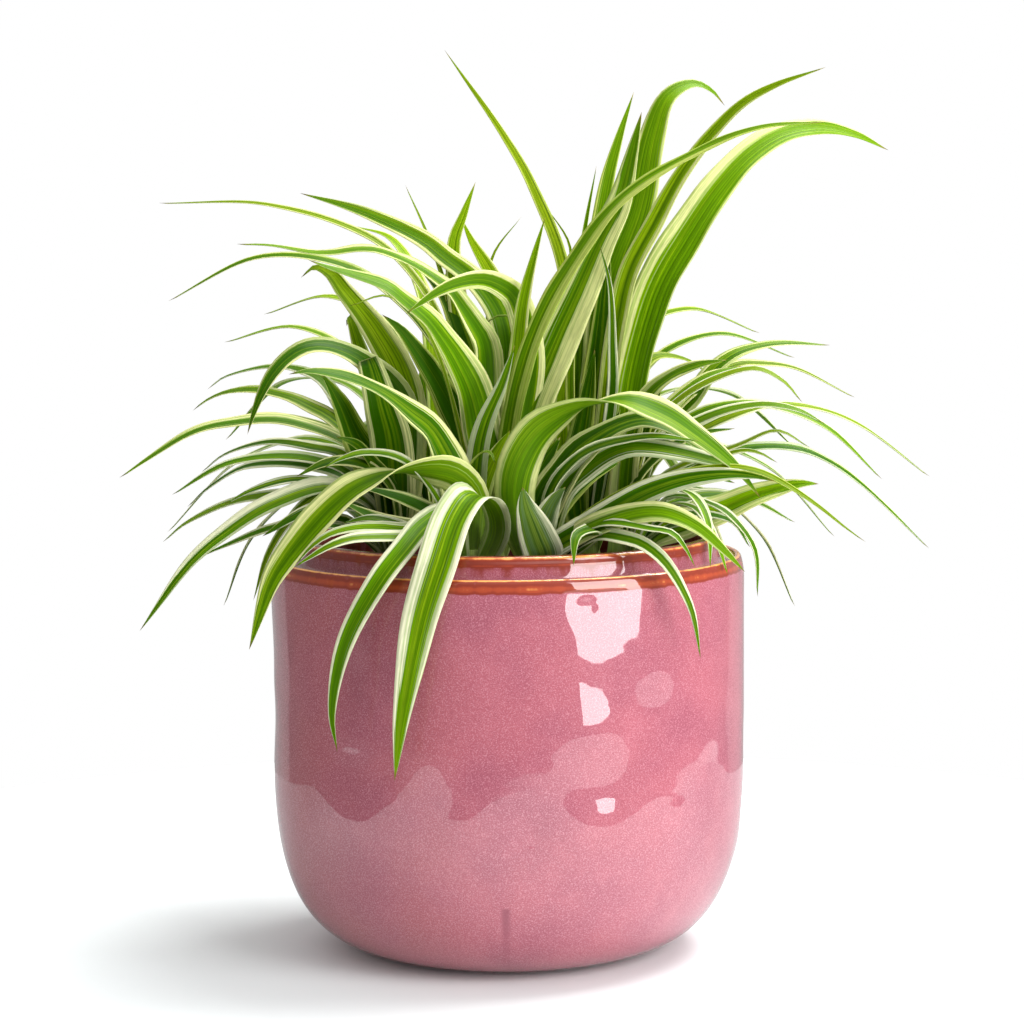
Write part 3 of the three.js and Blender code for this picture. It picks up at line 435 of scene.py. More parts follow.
        ("deep", "cream", 0.12, 0.12, 10, 40, 30, (26, 166, -42), (42, 174, -47), (56, 176, -51),
         (68, 171, -54)),
        ("deep", "lime", 0.1, 0.1, 12, 60, 60, (10, 178, -30), (14, 192, -26), (22, 205, -23)),
        ("olive", "lime", 0.05, 0.1, 4, 30, 30, (28, 170, -50), (48, 183, -58), (70, 190, -64),
         (92, 192.3, -69), (103, 190.1, -71), (114, 184.3, -73), (126, 176.1, -75), (136, 168, -77),
         (144.5, 161.8, -78)),
        ("deep", "ivory", 0.14, 0.14, 8, 40, 30, (30, 163, -46), (44, 171, -52), (58, 174, -56),
         (70, 172, -58)),
    ],
    "rosette_right": [
        (46, -2),
        ("green", "cream", 0.16, 0.16, 10, 45, 30, (56, 202, 3), (74.4, 219.5, 11), (82.4, 230.5, 14),
         (92, 238, 18), (103, 241.2, 24), (113.6, 242, 29), (130, 241, 36)),
        ("olive", "cream", 0.16, 0.16, 7, 25, 25, (62, 208, 6), (91, 233, 24), (103, 234, 31),
         (116, 232, 38), (140, 220, 52)),
        ("olive", "ivory", 0.1, 0.1, 7, 30, 30, (62, 212, -7), (98, 232, -20), (111, 227, -25),
         (119, 218, -29)),
        ("green", "cream", 0.2, 0.2, 13, 65, 45, (50, 203, -6), (57, 221, -10), (66, 229, -15),
         (77, 233.5, -21), (89, 235.5, -26)),
        ("green", "cream", 0.18, 0.14, 10, 60, 40, (54, 198, 0), (62, 212, 2), (71, 222, 5), (82, 229.5, 9),
         (95, 233, 13)),
        ("green", "ivory", 0.16, 0.14, 8.5, 50, 30, (60, 200, -7), (74, 209.5, -12), (85, 214.2, -16),
         (96, 216.8, -19), (106, 217.5, -23), (118, 215, -27), (128, 209.5, -31)),
        ("green", "ivory", 0.14, 0.14, 7, 30, 30, (58, 198, -2), (77, 214, -4), (94, 218, -6),
         (111, 216, -8), (129, 208, -11), (151, 187, -15)),
        ("olive", "ivory", 0.14, 0.14, 6, 25, 25, (60, 194, 4), (80, 208, 11), (105, 217, 20),
         (124, 216, 26), (142, 209, 32), (170, 188, 41)),
        ("olive", "ivory", 0.12, 0.12, 5, 30, 30, (60, 186, -8), (95, 202, -20), (109, 207, -25),
         (122, 200, -30)),
        ("deep", "ivory", 0.16, 0.14, 7, 25, 25, (60, 184, 0), (91, 199, 4), (116, 200, 7), (129, 195, 9),
         (142, 186, 11), (170, 159, 15)),
        ("olive", "ivory", 0.12, 0.12, 6, 30, 30, (64, 184, -10), (94, 199, -24), (102, 198, -28),
         (109, 194, -31)),
        ("vivid", "cream", 0.18, 0.2, 14.5, 66, 55, (60, 165, 4), (74, 170.5, 4), (85, 174.8, 4),
         (96, 179.6, 3), (108.4, 183.6, 2), (119.2, 185.6, 0), (125.5, 185.4, -1)),
        ("vivid", "ivory", 0.2, 0.16, 7, 10, 10, (60, 182, -18), (74, 182, -36), (81, 171, -50),
         (82, 152, -60)),
        ("green", "ivory", 0.18, 0.18, 6, 20, 20, (62, 176, -12), (76, 176, -26), (84, 164, -38),
         (89, 149, -46)),
        ("green", "ivory", 0.16, 0.16, 6, 20, 20, (64, 180, -8), (84, 177, -19), (93, 170, -25),
         (100, 159, -29), (101, 140, -32)),
        ("deep", "ivory", 0.16, 0.16, 6, 30, 30, (64, 172, -3), (90, 171, -10), (98, 160, -13)),
        ("deep", "cream", 0.12, 0.12, 10, 35, 30, (52, 185, -11), (64, 199, -19), (78, 206, -26),
         (92, 208, -29)),
        ("deep", "ivory", 0.14, 0.14, 10, 40, 35, (53, 174, -9), (62, 186, -16), (78, 190, -23),
         (92, 186, -29)),
        ("deep", "ivory", 0.16, 0.14, 8, 30, 30, (58, 172, 4), (76, 181, 11), (96, 180, 18),
         (116, 170, 25)),
        ("deep", "lime", 0.1, 0.1, 10, 50, 50, (50, 188, -4), (56, 208, -6), (63, 226, -8)),
        ("deep", "lime", 0.1, 0.1, 12, 60, 50, (46, 184, 9), (54, 198, 10), (62, 208, 11), (70, 213, 9)),
        ("deep", "ivory", 0.14, 0.14, 9, 40, 30, (54, 160, -14), (64, 168, -30), (74, 170, -42),
         (82, 166, -52)),
    ],
    "rosette_back_left": [
        (-28, 44),
        ("green", "ivory", 0.14, 0.16, 9, 0, 0, (-40, 200, 56), (-62, 226, 76), (-88, 228, 98),
         (-112, 205, 116)),
        ("green", "ivory", 0.16, 0.2, 11, 0, 0, (-30, 205, 70), (-36, 222, 100), (-44, 205, 128),
         (-50, 165, 148)),
        ("deep", "ivory", 0.16, 0.14, 10, 0, 0, (-24, 190, 72), (-22, 198, 96), (-20, 170, 112),
         (-20, 120, 122)),
        ("green", "ivory", 0.16, 0.16, 8, 15, 15, (-50, 190, 50), (-78, 205, 62), (-108, 196, 72),
         (-136, 168, 80)),
        ("sunny", "cream", 0.14, 0.12, 9, 15, 15, (-34, 215, 50), (-48, 250, 60), (-70, 262, 72),
         (-96, 255, 84)),
        ("sunny", "cream", 0.12, 0.12, 9, 15, 15, (-28, 225, 54), (-32, 262, 64), (-44, 284, 78),
         (-60, 290, 94)),
        ("green", "ivory", 0.2, 0.16, 8, 0, 0, (-46, 184, 66), (-66, 188, 86), (-82, 170, 102),
         (-92, 138, 112)),
        ("sunny", "cream", 0.14, 0.14, 10, 0, 0, (-22, 215, 58), (-18, 250, 72), (-20, 270, 94),
         (-26, 268, 118)),
        ("deep", "ivory", 0.18, 0.18, 7, 10, 10, (-52, 180, 56), (-80, 184, 66), (-102, 166, 74),
         (-114, 138, 78)),
        ("green", "ivory", 0.14, 0.2, 8, 0, 0, (-36, 195, 62), (-50, 212, 86), (-66, 198, 110),
         (-78, 160, 126)),
        ("green", "cream", 0.14, 0.14, 7, 20, 20, (-44, 205, 46), (-60, 238, 50), (-84, 250, 56),
         (-112, 244, 60)),
        ("deep", "ivory", 0.18, 0.16, 8, 0, 0, (-20, 180, 70), (-8, 190, 96), (-4, 172, 114),
         (-4, 136, 120)),
        ("deep", "lime", 0.1, 0.12, 12, 15, 15, (-30, 190, 54), (-32, 222, 62), (-28, 248, 72)),
        ("deep", "cream", 0.12, 0.12, 10, 10, 10, (-38, 180, 50), (-50, 196, 58), (-64, 208, 70),
         (-76, 210, 84)),
        ("deep", "lime", 0.12, 0.1, 11, 15, 15, (-17, 186, 42), (-7, 212, 46), (4, 236, 52)),
    ],
    "rosette_back_right": [
        (26, 48),
        ("green", "ivory", 0.16, 0.14, 9, 0, 0, (40, 200, 58), (62, 222, 78), (90, 222, 98),
         (116, 200, 114)),
        ("green", "ivory", 0.2, 0.16, 11, 0, 0, (30, 205, 72), (36, 224, 100), (40, 206, 128),
         (46, 168, 146)),
        ("deep", "ivory", 0.14, 0.16, 9, 0, 0, (24, 190, 76), (26, 198, 100), (28, 168, 116),
         (30, 122, 122)),
        ("green", "ivory", 0.16, 0.16, 8, 15, 15, (48, 188, 54), (76, 202, 64), (106, 192, 74),
         (132, 164, 82)),
        ("sunny", "cream", 0.12, 0.14, 9, 15, 15, (34, 215, 56), (50, 246, 66), (74, 256, 78),
         (102, 246, 90)),
        ("sunny", "cream", 0.12, 0.12, 9, 10, 10, (24, 225, 62), (30, 258, 76), (40, 276, 94),
         (54, 278, 112)),
        ("green", "ivory", 0.16, 0.2, 8, 0, 0, (46, 184, 68), (66, 188, 88), (82, 170, 104),
         (94, 136, 114)),
        ("sunny", "cream", 0.14, 0.14, 10, 0, 0, (16, 215, 62), (10, 246, 78), (6, 262, 100),
         (4, 256, 124)),
        ("deep", "ivory", 0.18, 0.18, 7, 10, 10, (50, 178, 58), (78, 184, 68), (102, 166, 76),
         (116, 136, 80)),
        ("green", "ivory", 0.2, 0.14, 8, 0, 0, (36, 196, 68), (52, 208, 92), (68, 192, 116),
         (80, 158, 130)),
        ("green", "cream", 0.14, 0.14, 7, 20, 20, (42, 205, 54), (60, 236, 62), (86, 246, 70),
         (116, 236, 78)),
        ("deep", "ivory", 0.16, 0.18, 8, 0, 0, (14, 186, 78), (10, 192, 100), (10, 172, 116),
         (12, 140, 122)),
        ("deep", "lime", 0.12, 0.1, 12, 15, 15, (26, 190, 58), (28, 222, 66), (32, 248, 76)),
        ("deep", "cream", 0.12, 0.12, 10, 10, 10, (34, 182, 54), (46, 198, 62), (60, 210, 76),
         (72, 212, 92)),
        ("deep", "lime", 0.1, 0.12, 11, 15, 15, (20, 186, 48), (12, 214, 56), (0, 240, 64)),
    ],
}


def linear(color):
    """An sRGB colour of 0 to 255 as linear red, green and blue."""
    shares = [channel / 255 for channel in color]
    return tuple(s / 12.92 if s <= 0.04045 else ((s + 0.055) / 1.055) ** 2.4 for s in shares)


def smooth(value, low, high):
    """0 below low and 1 above high, with an even slope between."""
    share = min(max((value - low) / (high - low), 0.0), 1.0)
    return share * share * (3 - 2 * share)


class Shader:
    """Short ways to add nodes to a material or a world. An input is a number, a tuple, a
    socket, or None to leave it as it is."""

    def __init__(self, owner):
        owner.use_nodes = True
        self.owner = owner
        self.tree = owner.node_tree
        self.tree.nodes.clear()

    def add(self, kind, inputs=None, **settings):
        node = self.tree.nodes.new(kind)
        for key, value in settings.items():
            setattr(node, key, value)
        for key, value in (inputs or {}).items():
            self.feed(node.inputs[key], value)
        return node

    def feed(self, socket, value):
        if value is None:
            return
        if isinstance(value, bpy.types.NodeSocket):
            self.tree.links.new(value, socket)
        elif socket.type == "RGBA" and len(value) == 3:
            socket.default_value = (*value, 1.0)
        else:
            socket.default_value = value

    def attribute(self, name, output="Fac"):
        return self.add("ShaderNodeAttribute", attribute_name=name).outputs[output]

    def place(self):
        return self.add("ShaderNodeTexCoord").outputs["Object"]

    def split(self, vector):
        return self.add("ShaderNodeSeparateXYZ", {0: vector}).outputs

    def math(self, operation, a, b=None):
        return self.add("ShaderNodeMath", {0: a, 1: b}, operation=operation).outputs[0]

    def product(self, a, b):
        return self.math("MULTIPLY", a, b)

    def scaled(self, vector, scale):
        node = self.add("ShaderNodeVectorMath", {0: vector, 1: scale}, operation="MULTIPLY")
        return node.outputs[0]

    def noise(self, vector, scale, detail=2.0, roughness=0.5):
        inputs = {"Vector": vector, "Scale": scale, "Detail": detail, "Roughness": roughness}
        return self.add("ShaderNodeTexNoise", inputs).outputs[0]

    def spread(self, value, low, high, to_low=0.0, to_high=1.0):
        """A value carried smoothly from the range low to high over to another range."""
        inputs = {"Value": value, 1: low, 2: high, 3: to_low, 4: to_high}
        node = self.add("ShaderNodeMapRange", inputs, interpolation_type="SMOOTHSTEP")
        return node.outputs[0]

    def blend(self, share, a, b, blend_type="MIX"):
        node = self.add("ShaderNodeMix", data_type="RGBA", blend_type=blend_type)
        for socket, value in ((0, share), (6, a), (7, b)):
            self.feed(node.inputs[socket], value)
        return node.outputs[2]

    def tinted(self, color, tint, value, low, high, to_low=0.0, to_high=1.0):
        """A colour with an sRGB tint laid over it, as strongly as a value's spread says."""
        return self.blend(self.spread(value, low, high, to_low, to_high), color, linear(tint))

    def choose(self, share, a, b):
        node = self.add("ShaderNodeMix", data_type="FLOAT")
        for socket, value in ((0, share), (2, a), (3, b)):
            self.feed(node.inputs[socket], value)
        return node.outputs[0]

    def bump(self, height, strength, distance):
        inputs = {"Height": height, "Strength": strength, "Distance": distance}
        return self.add("ShaderNodeBump", inputs).outputs[0]

    def mix_surfaces(self, share, a, b):
        return self.add("ShaderNodeMixShader", {0: share, 1: a.outputs[0], 2: b.outputs[0]})

    def finish(self, surface, output="ShaderNodeOutputMaterial"):
        self.add(output, {0: surface.outputs[0]})
        return self.owner


def new_material(name):
    return Shader(bpy.data.materials.new(name))


def make_mesh(name, vertices, faces, material, flat_faces=()):
    """A shaded mesh object from points in millimetres."""
    mesh = bpy.data.meshes.new(name)
    mesh.from_pydata((np.asarray(vertices) * MM).tolist(), [], faces)
    mesh.polygons.foreach_set("use_smooth", [True] * len(faces))
    for face in flat_faces:
        mesh.polygons[face].use_smooth = False
    mesh.materials.append(material)
    mesh.update()
    piece = bpy.data.objects.new(name, mesh)
    bpy.context.collection.objects.link(piece)
    return piece


def add_attribute(piece, name, kind, values):
    """A value for each point of a piece's mesh, which its material reads by name."""
    attribute = piece.data.attributes.new(name, kind, "POINT")
    field = {"FLOAT": "value", "FLOAT_VECTOR": "vector", "FLOAT_COLOR": "color"}[kind]
    attribute.data.foreach_set(field, np.asarray(values, dtype=np.float32).ravel())


def ring_faces(rings, sides, first=0):
    """The faces between rings of points, the first of which starts at an index. They face
    out where the rings follow each other up the outside."""
    faces = []
    for ring in range(rings - 1):
        for side in range(sides):
            a = first + ring * sides + side
            b = first + ring * sides + (side + 1) % sides
            faces.append((a, b, b + sides, a + sides))
    return faces


def turned_faces(rings, sides):
    """The faces of a closed body of rings, with a fan at each end round a middle point.
    The first ring's middle and then the last ring's follow the rings' own points."""
    faces = ring_faces(rings, sides)
    last = (rings - 1) * sides
    middle = rings * sides
    for side in range(sides):
        following = (side + 1) % sides
        faces.append((following, side, middle))
        faces.append((last + side, last + following, middle + 1))
    return faces


def add_camera():
    data = bpy.data.cameras.new("camera")
    data.sensor_width = SENSOR_WIDTH
    data.lens = FOCAL_LENGTH
    data.clip_start = 0.01
    data.clip_end = 100.0
    camera = bpy.data.objects.new("camera", data)
    tilt = Matrix.Rotation(QUARTER_TURN - CAMERA_TILT, 4, "X")
    roll = Matrix.Rotation(CAMERA_ROLL, 4, "Z")
    camera.matrix_world = Matrix.Translation(EYE * MM) @ (tilt @ roll)
    bpy.context.collection.objects.link(camera)
    bpy.context.scene.camera = camera


# The pot. A point of its half section is (radius, height, drawn), where drawn says how far
# the glaze has drawn thin there, from 0, rose, over brown to 1, amber.


def rounding(inset, floor):
    """(radius, height) points of the curve from the foot up into the wall, for a skin
    that lies inset from the pot's outside."""
    points = []
    foot = FOOT_RADIUS - inset / 2
    for step in range(ROUNDING_STEPS + 1):
        angle = step / ROUNDING_STEPS * QUARTER_TURN
        out = math.sin(angle) ** ROUNDING_POWER
        up = 1 - math.cos(angle) ** ROUNDING_POWER
        radius = foot + (POT_RADIUS - inset - foot) * out
        points.append((radius, floor + (ROUNDING_HEIGHT - floor) * up))
    return points


def wall_profile():
    """From the middle of the underside up to the rim's shoulder."""
    shoulder = RIM_EDGE_HEIGHT - SHOULDER_DROP
    profile = [(0.0, 0.0, 0.0), (FOOT_RADIUS / 2, 0.0, 0.0)]
    profile += [(radius, height, 0.0) for radius, height in rounding(0.0, 0.0)]
    for step in range(1, WALL_STEPS):
        height = ROUNDING_HEIGHT + (shoulder - ROUNDING_HEIGHT) * step / WALL_STEPS
        profile.append((POT_RADIUS, height, 0.0))
    return profile


def shoulder_profile():
    """The rim's outer shoulder, where the glaze shows an orange line above the rose wall,
    a brown band, and then the amber edge."""
    profile = []
    for share in SHOULDER_SHARES:
        radius = POT_RADIUS + (RIM_EDGE_RADIUS + EDGE_ROUND - POT_RADIUS) * share**SHOULDER_POWER
        height = RIM_EDGE_HEIGHT - SHOULDER_DROP + SHOULDER_DROP * share
        drawn = 0.78 * smooth(share, 0.36, 0.64) - 0.34 * smooth(share, 0.7, 0.82)
        profile.append((radius, height, drawn))
    return profile


def edge_profile():
    """The rim's amber outer edge, and the ledge that dips between it and the collar."""
    radius, height, bend = RIM_EDGE_RADIUS, RIM_EDGE_HEIGHT, EDGE_ROUND
    profile = [
        (radius + bend * 0.85, height - bend * 0.7, 0.9),
        (radius + bend * 0.7, height - bend * 0.4, 1.0),
        (radius, height - bend * 0.05, 1.0),
        (radius - bend, height - bend * 0.1, 1.0),
        (radius - bend * 2, height - bend * 0.6, 0.75),
    ]
    start = radius - 2 * bend
    for share in LEDGE_SHARES:
        dip = LEDGE_DIP * math.sin(math.pi * (0.25 + 0.6 * share))
        profile.append((start + (COLLAR_RADIUS + bend - start) * share, height - dip, 0.2))
    profile += [
        (COLLAR_RADIUS + bend, height - LEDGE_DIP + bend, 0.2),
        (COLLAR_RADIUS + bend * 0.5, height - bend * 0.5, 0.1),
    ]
    return profile


def collar_profile():
    """The collar's outside, with a thin orange line halfway up, and its round amber lip."""
    radius, foot = COLLAR_RADIUS, RIM_EDGE_HEIGHT
    inside = COLLAR_RADIUS - LIP_THICKNESS
    profile = [
        (radius, foot + EDGE_ROUND, 0.18),
        (radius - 0.1, foot + 2.2, 0.2),
        (radius - 0.1, foot + 3.7, 0.3),
        (radius - 0.1, foot + 4.4, 0.66),
        (radius - 0.1, foot + 5.1, 0.45),
        (radius, COLLAR_TOP - LIP_ROUND * 1.1, 0.45),
    ]
    angles = [step / LIP_STEPS * QUARTER_TURN for step in range(LIP_STEPS + 1)]
    for step, angle in enumerate(angles):
        out = radius - LIP_ROUND * (1 - math.cos(angle))
        up = COLLAR_TOP - LIP_ROUND * (1 - math.sin(angle))
        drawn = 0.45 - 0.15 * step / LIP_STEPS + 0.6 * math.sin(angle * 2)
        profile.append((out, up, drawn))
    for angle in angles:
        out = inside + LIP_ROUND * (1 - math.sin(angle))
        up = COLLAR_TOP - LIP_ROUND * (1 - math.cos(angle))
        profile.append((out, up, 0.3 + 0.3 * math.sin(angle * 2)))
    return profile


def inside_profile():
    """From the lip down the inside to the middle of the floor."""
    shoulder = RIM_EDGE_HEIGHT - SHOULDER_DROP
    inside = COLLAR_RADIUS - LIP_THICKNESS
    profile = [
        (inside, COLLAR_TOP - LIP_ROUND * 2.5, 0.3),
        (inside, RIM_EDGE_HEIGHT - SHOULDER_DROP / 2, 0.3),
        (POT_RADIUS - WALL, shoulder - LEDGE_DIP, 0.2),
        (POT_RADIUS - WALL, (shoulder + ROUNDING_HEIGHT) / 2, 0.1),
    ]
    inner = [(radius, height, 0.1) for radius, height in rounding(WALL, FLOOR_THICKNESS)]
    return profile + inner[::-1] + [(0.0, FLOOR_THICKNESS, 0.1)]


def all_dents():
    """The named dents in front, and others placed by chance on the sides and the back."""
    draw = random.Random(BACK_DENTS_SEED)
    dents = list(DENTS)
    for _ in range(BACK_DENTS):
        height, radius, angle, depth = (draw.uniform(*span) for span in BACK_DENT_SPANS)
        dents.append((angle, height, radius, depth))
    return dents


def faded(height, share, low, high):
    """What is left at a height of something that fades by a share from low to high."""
    return 1 - share * smooth(height, low, high)


def unevenness(point, dents):
    """How far the hand-made outside stands out at a point, in millimetres."""
    x, y, z = point
    broad = noise.noise(Vector((x, y, z * BROAD_FLATTENING)) * BROAD_PITCH + BROAD_START)
    ripple = noise.noise(Vector((x, y, z)) * RIPPLE_PITCH + RIPPLE_START)
    swell = BROAD_SWELL * broad + RIPPLE_SWELL * ripple
    swell *= faded(z, *SWELL_FADE)
    dent_share = faded(z, *DENT_FADE)
    angle = math.degrees(math.atan2(x, -y))
    for dent_angle, dent_height, radius, depth in dents:
        turn = (angle - dent_angle + 180) % 360 - 180
        away = (math.radians(turn) * POT_RADIUS) ** 2 + (z - dent_height) ** 2
        swell -= dent_share * depth * math.exp(-away / radius**2)
    return smooth(z, *FOOT_FADE) * swell


def pot_ring(radius, height, dents):
    """The points of one turn round the pot, uneven where there are dents."""
    points = []
    for side in range(POT_SIDES):
        angle = side / POT_SIDES * FULL_TURN
        point = Vector((radius * math.sin(angle), radius * -math.cos(angle), height))
        if dents:
            out = Vector((point.x, point.y, 0.0)).normalized()
            point += out * unevenness(point, dents)
        points.append(tuple(point))
    return points


def make_pot():
    outside = wall_profile() + shoulder_profile() + edge_profile() + collar_profile()
    profile = outside + inside_profile()
    dents = all_dents()
    vertices = []
    for place, (radius, height, _) in enumerate(profile[1:-1], start=1):
        uneven = place < len(outside) and 0 < height < UNEVEN_TOP
        vertices += pot_ring(radius, height, dents if uneven else [])
    vertices += [(0.0, 0.0, profile[0][1]), (0.0, 0.0, profile[-1][1])]
    breaks = [drawn for _, _, drawn in profile[1:-1] for _ in range(POT_SIDES)]
    breaks += [profile[0][2], profile[-1][2]]
    faces = turned_faces(len(profile) - 2, POT_SIDES)
    pot = make_mesh("glazed_pot", vertices, faces, glaze_material())
    add_attribute(pot, "glaze_break", "FLOAT", breaks)
    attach(pot, "root")
    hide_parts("pot")


def glaze_material():
    """A clear wet gloss over rose glaze, which turns brown and amber where it has drawn
    thin."""
    shader = new_material("rose_glaze")
    place = shader.place()
    grain = shader.noise(place, GRAIN, 2.0, 0.7)
    rose = rose_ground(shader, place, grain)
    ripples = shader.noise(place, RIPPLES, 2.0, 0.5)
    surface = shader.add("ShaderNodeBsdfPrincipled", {
        "Base Color": drawn_thin(shader, place, rose),
        "Roughness": shader.spread(grain, 0.3, 0.7, 0.45, 0.6),
        "Specular IOR Level": 0.15,
        "Coat Weight": 1.0,
        "Coat Roughness": 0.02,
        "Coat IOR": 1.65,
        "Coat Normal": shader.bump(ripples, 0.12, 0.0006),
    })
    return shader.finish(surface)


def rose_ground(shader, place, grain):
    """Rose with mauve clouds, paler patches, painted shade that darkens and warms the left side,
    fine dark and pale grain and the brown run."""
    clouds = shader.noise(place, CLOUDS, 3.0, 0.55)
    patches = shader.noise(place, PATCHES, 3.0, 0.6)
    crystals = shader.noise(place, CRYSTALS, 2.0, 0.6)
    x, y, z = shader.split(place)
    left = shader.math("ADD", x, shader.spread(clouds, 0.3, 0.7, -0.02, 0.02))
    rose = shader.tinted(linear(ROSE), MAUVE, clouds, 0.36, 0.64)
    rose = shader.tinted(rose, BLUSH, patches, 0.4, 0.75, 0.0, 0.35)
    # Painted shade: the pot's left side gets a darker, warmer colour where the lamps leave it in shade.
    rose = shader.tinted(rose, PAINTED_LEFT_SHADE, left, *PAINTED_SHADE_SPREAD)
    rose = shader.tinted(rose, DARK_GRAIN, grain, 0.35, 0.65, 0.0, 0.5)
    rose = shader.tinted(rose, PALE_GRAIN, crystals, 0.46, 0.7, 0.0, 0.5)
    return shader.blend(glaze_run(shader, x, y, z, grain), rose, linear(DARK_GRAIN))


def glaze_run(shader, x, y, z, grain):
    """How strongly the brown run shows: darkest at its top, and on the front alone."""
    away = shader.math("ABSOLUTE", shader.math("SUBTRACT", x, RUN_X * MM))
    away = shader.math("ADD", away, shader.spread(grain, 0.3, 0.7, -0.3 * MM, 0.5 * MM))
    beside = shader.spread(away, 0.2 * RUN_WIDTH * MM, RUN_WIDTH * MM, 0.85, 0.0)
    below = shader.spread(z, RUN_END * MM, RUN_TOP * MM, 0.15, 1.0)
    above = shader.spread(z, RUN_TOP * MM, (RUN_TOP + RUN_FADE) * MM, 1.0, 0.0)
    front = shader.math("LESS_THAN", y, 0.0)
    return shader.product(shader.product(shader.product(beside, below), above), front)


def drawn_thin(shader, place, rose):
    """The rose ground, and over it brown, orange and amber by how thin the glaze is."""
    streaks = shader.noise(shader.scaled(place, (1.0, 1.0, 0.35)), STREAKS, 3.0, 0.6)
    waver = shader.spread(streaks, 0.25, 0.75, -0.13, 0.13)
    drawn = shader.math("ADD", shader.attribute("glaze_break"), waver)
    brown = shader.tinted(rose, BROWN, drawn, 0.15, 0.4)
    orange = shader.tinted(brown, ORANGE, drawn, 0.52, 0.8)
    return shader.tinted(orange, AMBER, drawn, 0.82, 1.0)


# The soil.


def soil_height(x, y):
    """The soil's top, loose and lumpy, in millimetres."""
    height = SOIL_TOP
    for rise, pitch, start in SOIL_LUMPS:
        height += rise * noise.noise(Vector((x, y, 0.0)) * pitch + Vector(start))
    return height


def around(radius, sides):
    """x and y of the points of a circle."""
    angles = [side / sides * FULL_TURN for side in range(sides)]
    return [(radius * math.cos(angle), radius * math.sin(angle)) for angle in angles]


def make_soil():
    """A lumpy top, from its middle out to the wall, and a plain skirt down to the floor."""
    edge = POT_RADIUS - WALL - SOIL_GAP
    vertices = []
    for ring in range(1, SOIL_RINGS + 1):
        for x, y in around(edge * ring / SOIL_RINGS, SOIL_SIDES):
            vertices.append((x, y, soil_height(x, y)))
    skin = rounding(WALL + SOIL_GAP, FLOOR_THICKNESS + SOIL_GAP)
    skirt = skin[::-6] + [skin[0]]
    for radius, height in skirt:
        vertices += [(x, y, height) for x, y in around(radius, SOIL_SIDES)]
    vertices += [(0.0, 0.0, soil_height(0.0, 0.0)), (0.0, 0.0, FLOOR_THICKNESS + SOIL_GAP)]
    faces = turned_faces(SOIL_RINGS + len(skirt), SOIL_SIDES)
    turned_over = [(face[0], *face[:0:-1]) for face in faces]
    soil = make_mesh("potting_soil", vertices, turned_over, soil_material())
    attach(soil, "root")
    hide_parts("soil")


def soil_material():
    shader = new_material("potting_soil")
    place = shader.place()
    lumps = shader.noise(place, SOIL_GRAIN, 4.0, 0.65)
    fibres = shader.noise(shader.scaled(place, (1.0, 0.25, 1.0)), SOIL_FIBRES, 3.0, 0.6)
    color = shader.tinted(linear(SOIL_DARK), SOIL_BROWN, lumps, 0.35, 0.65)
    color = shader.tinted(color, SOIL_FIBRE, fibres, 0.6, 0.75, 0.0, 0.7)
    surface = shader.add("ShaderNodeBsdfPrincipled", {
        "Base Color": color,
        "Roughness": 0.95,
        "Normal": shader.bump(lumps, 0.8, 0.001),
    })
    return shader.finish(surface)


# The leaves.


def sight_point(place):
    """The point in the room of a midrib's (x, z, depth)."""
    x, z, depth = place
    on_plane = Vector((x, 0.0, z))
    return EYE + (on_plane - EYE) * ((depth - EYE.y) / -EYE.y)


def smooth_curve(points):
    """Many points on the centripetal Catmull-Rom curve through a few."""
    before = points[0] * 2 - points[1]
    after = points[-1] * 2 - points[-2]
    knots = [before, *points, after]
    curve = []
    for i in range(1, len(knots) - 2):
        p0, p1, p2, p3 = knots[i - 1 : i + 3]
        d0, d1, d2 = ((b - a).length ** 0.5 for a, b in ((p0, p1), (p1, p2), (p2, p3)))
        start = ((p1 - p0) / d0 - (p2 - p0) / (d0 + d1) + (p2 - p1) / d1) * d1
        end = ((p2 - p1) / d1 - (p3 - p1) / (d1 + d2) + (p3 - p2) / d2) * d1
        bend = (p2 - p1) * 3 - start * 2 - end
        twist = (p1 - p2) * 2 + start + end
        for step in range(CURVE_STEPS):
            t = step / CURVE_STEPS
            curve.append(p1 + start * t + bend * t * t + twist * t**3)
    curve.append(points[-1])
    return np.array([tuple(point) for point in curve])


def midrib(crown, places):
    """Points spaced evenly along a leaf's midrib, from inside the crown to the tip, and
    its length."""
    sights = [sight_point(place) for place in places]
    root = Vector((*crown, SOIL_TOP + ROOT_HEIGHT))
    first = (sights[0] - root).normalized()
    root += Vector((first.x, first.y, 0.0)) * ROOT_SPREAD
    curve = smooth_curve([root, *sights])
    steps = np.linalg.norm(np.diff(curve, axis=0), axis=1)
    reach = np.concatenate([[0.0], np.cumsum(steps)])
    length = reach[-1]
    stations = max(FEWEST_STATIONS, round(length / STATION_STEP))
    even = np.linspace(0.0, length, stations + 1)
    axes = [np.interp(even, reach, curve[:, axis]) for axis in range(3)]
    return np.stack(axes, axis=1), length


def width_share(t):
    """A blade's width from root, 0, to tip, 1, as a share of its widest."""
    if t < WIDEST_AT:
        return 1 - (1 - BASE_SHARE) * (1 - t / WIDEST_AT) ** 2
    return 1 - ((t - WIDEST_AT) / (1 - WIDEST_AT)) ** TIP_TAPER


def square_to(run, direction):
    """The part of a direction that lies square to the blade's run, at unit length."""
    return (direction - run * direction.dot(run)).normalized()


def trough(across):
    """The height of a channelled blade's section, from 0 at the rib to 1 at an edge."""
    rise = math.sqrt(across * across + CHANNEL_ROUND**2) - CHANNEL_ROUND
    return rise / (math.sqrt(1 + CHANNEL_ROUND**2) - CHANNEL_ROUND)


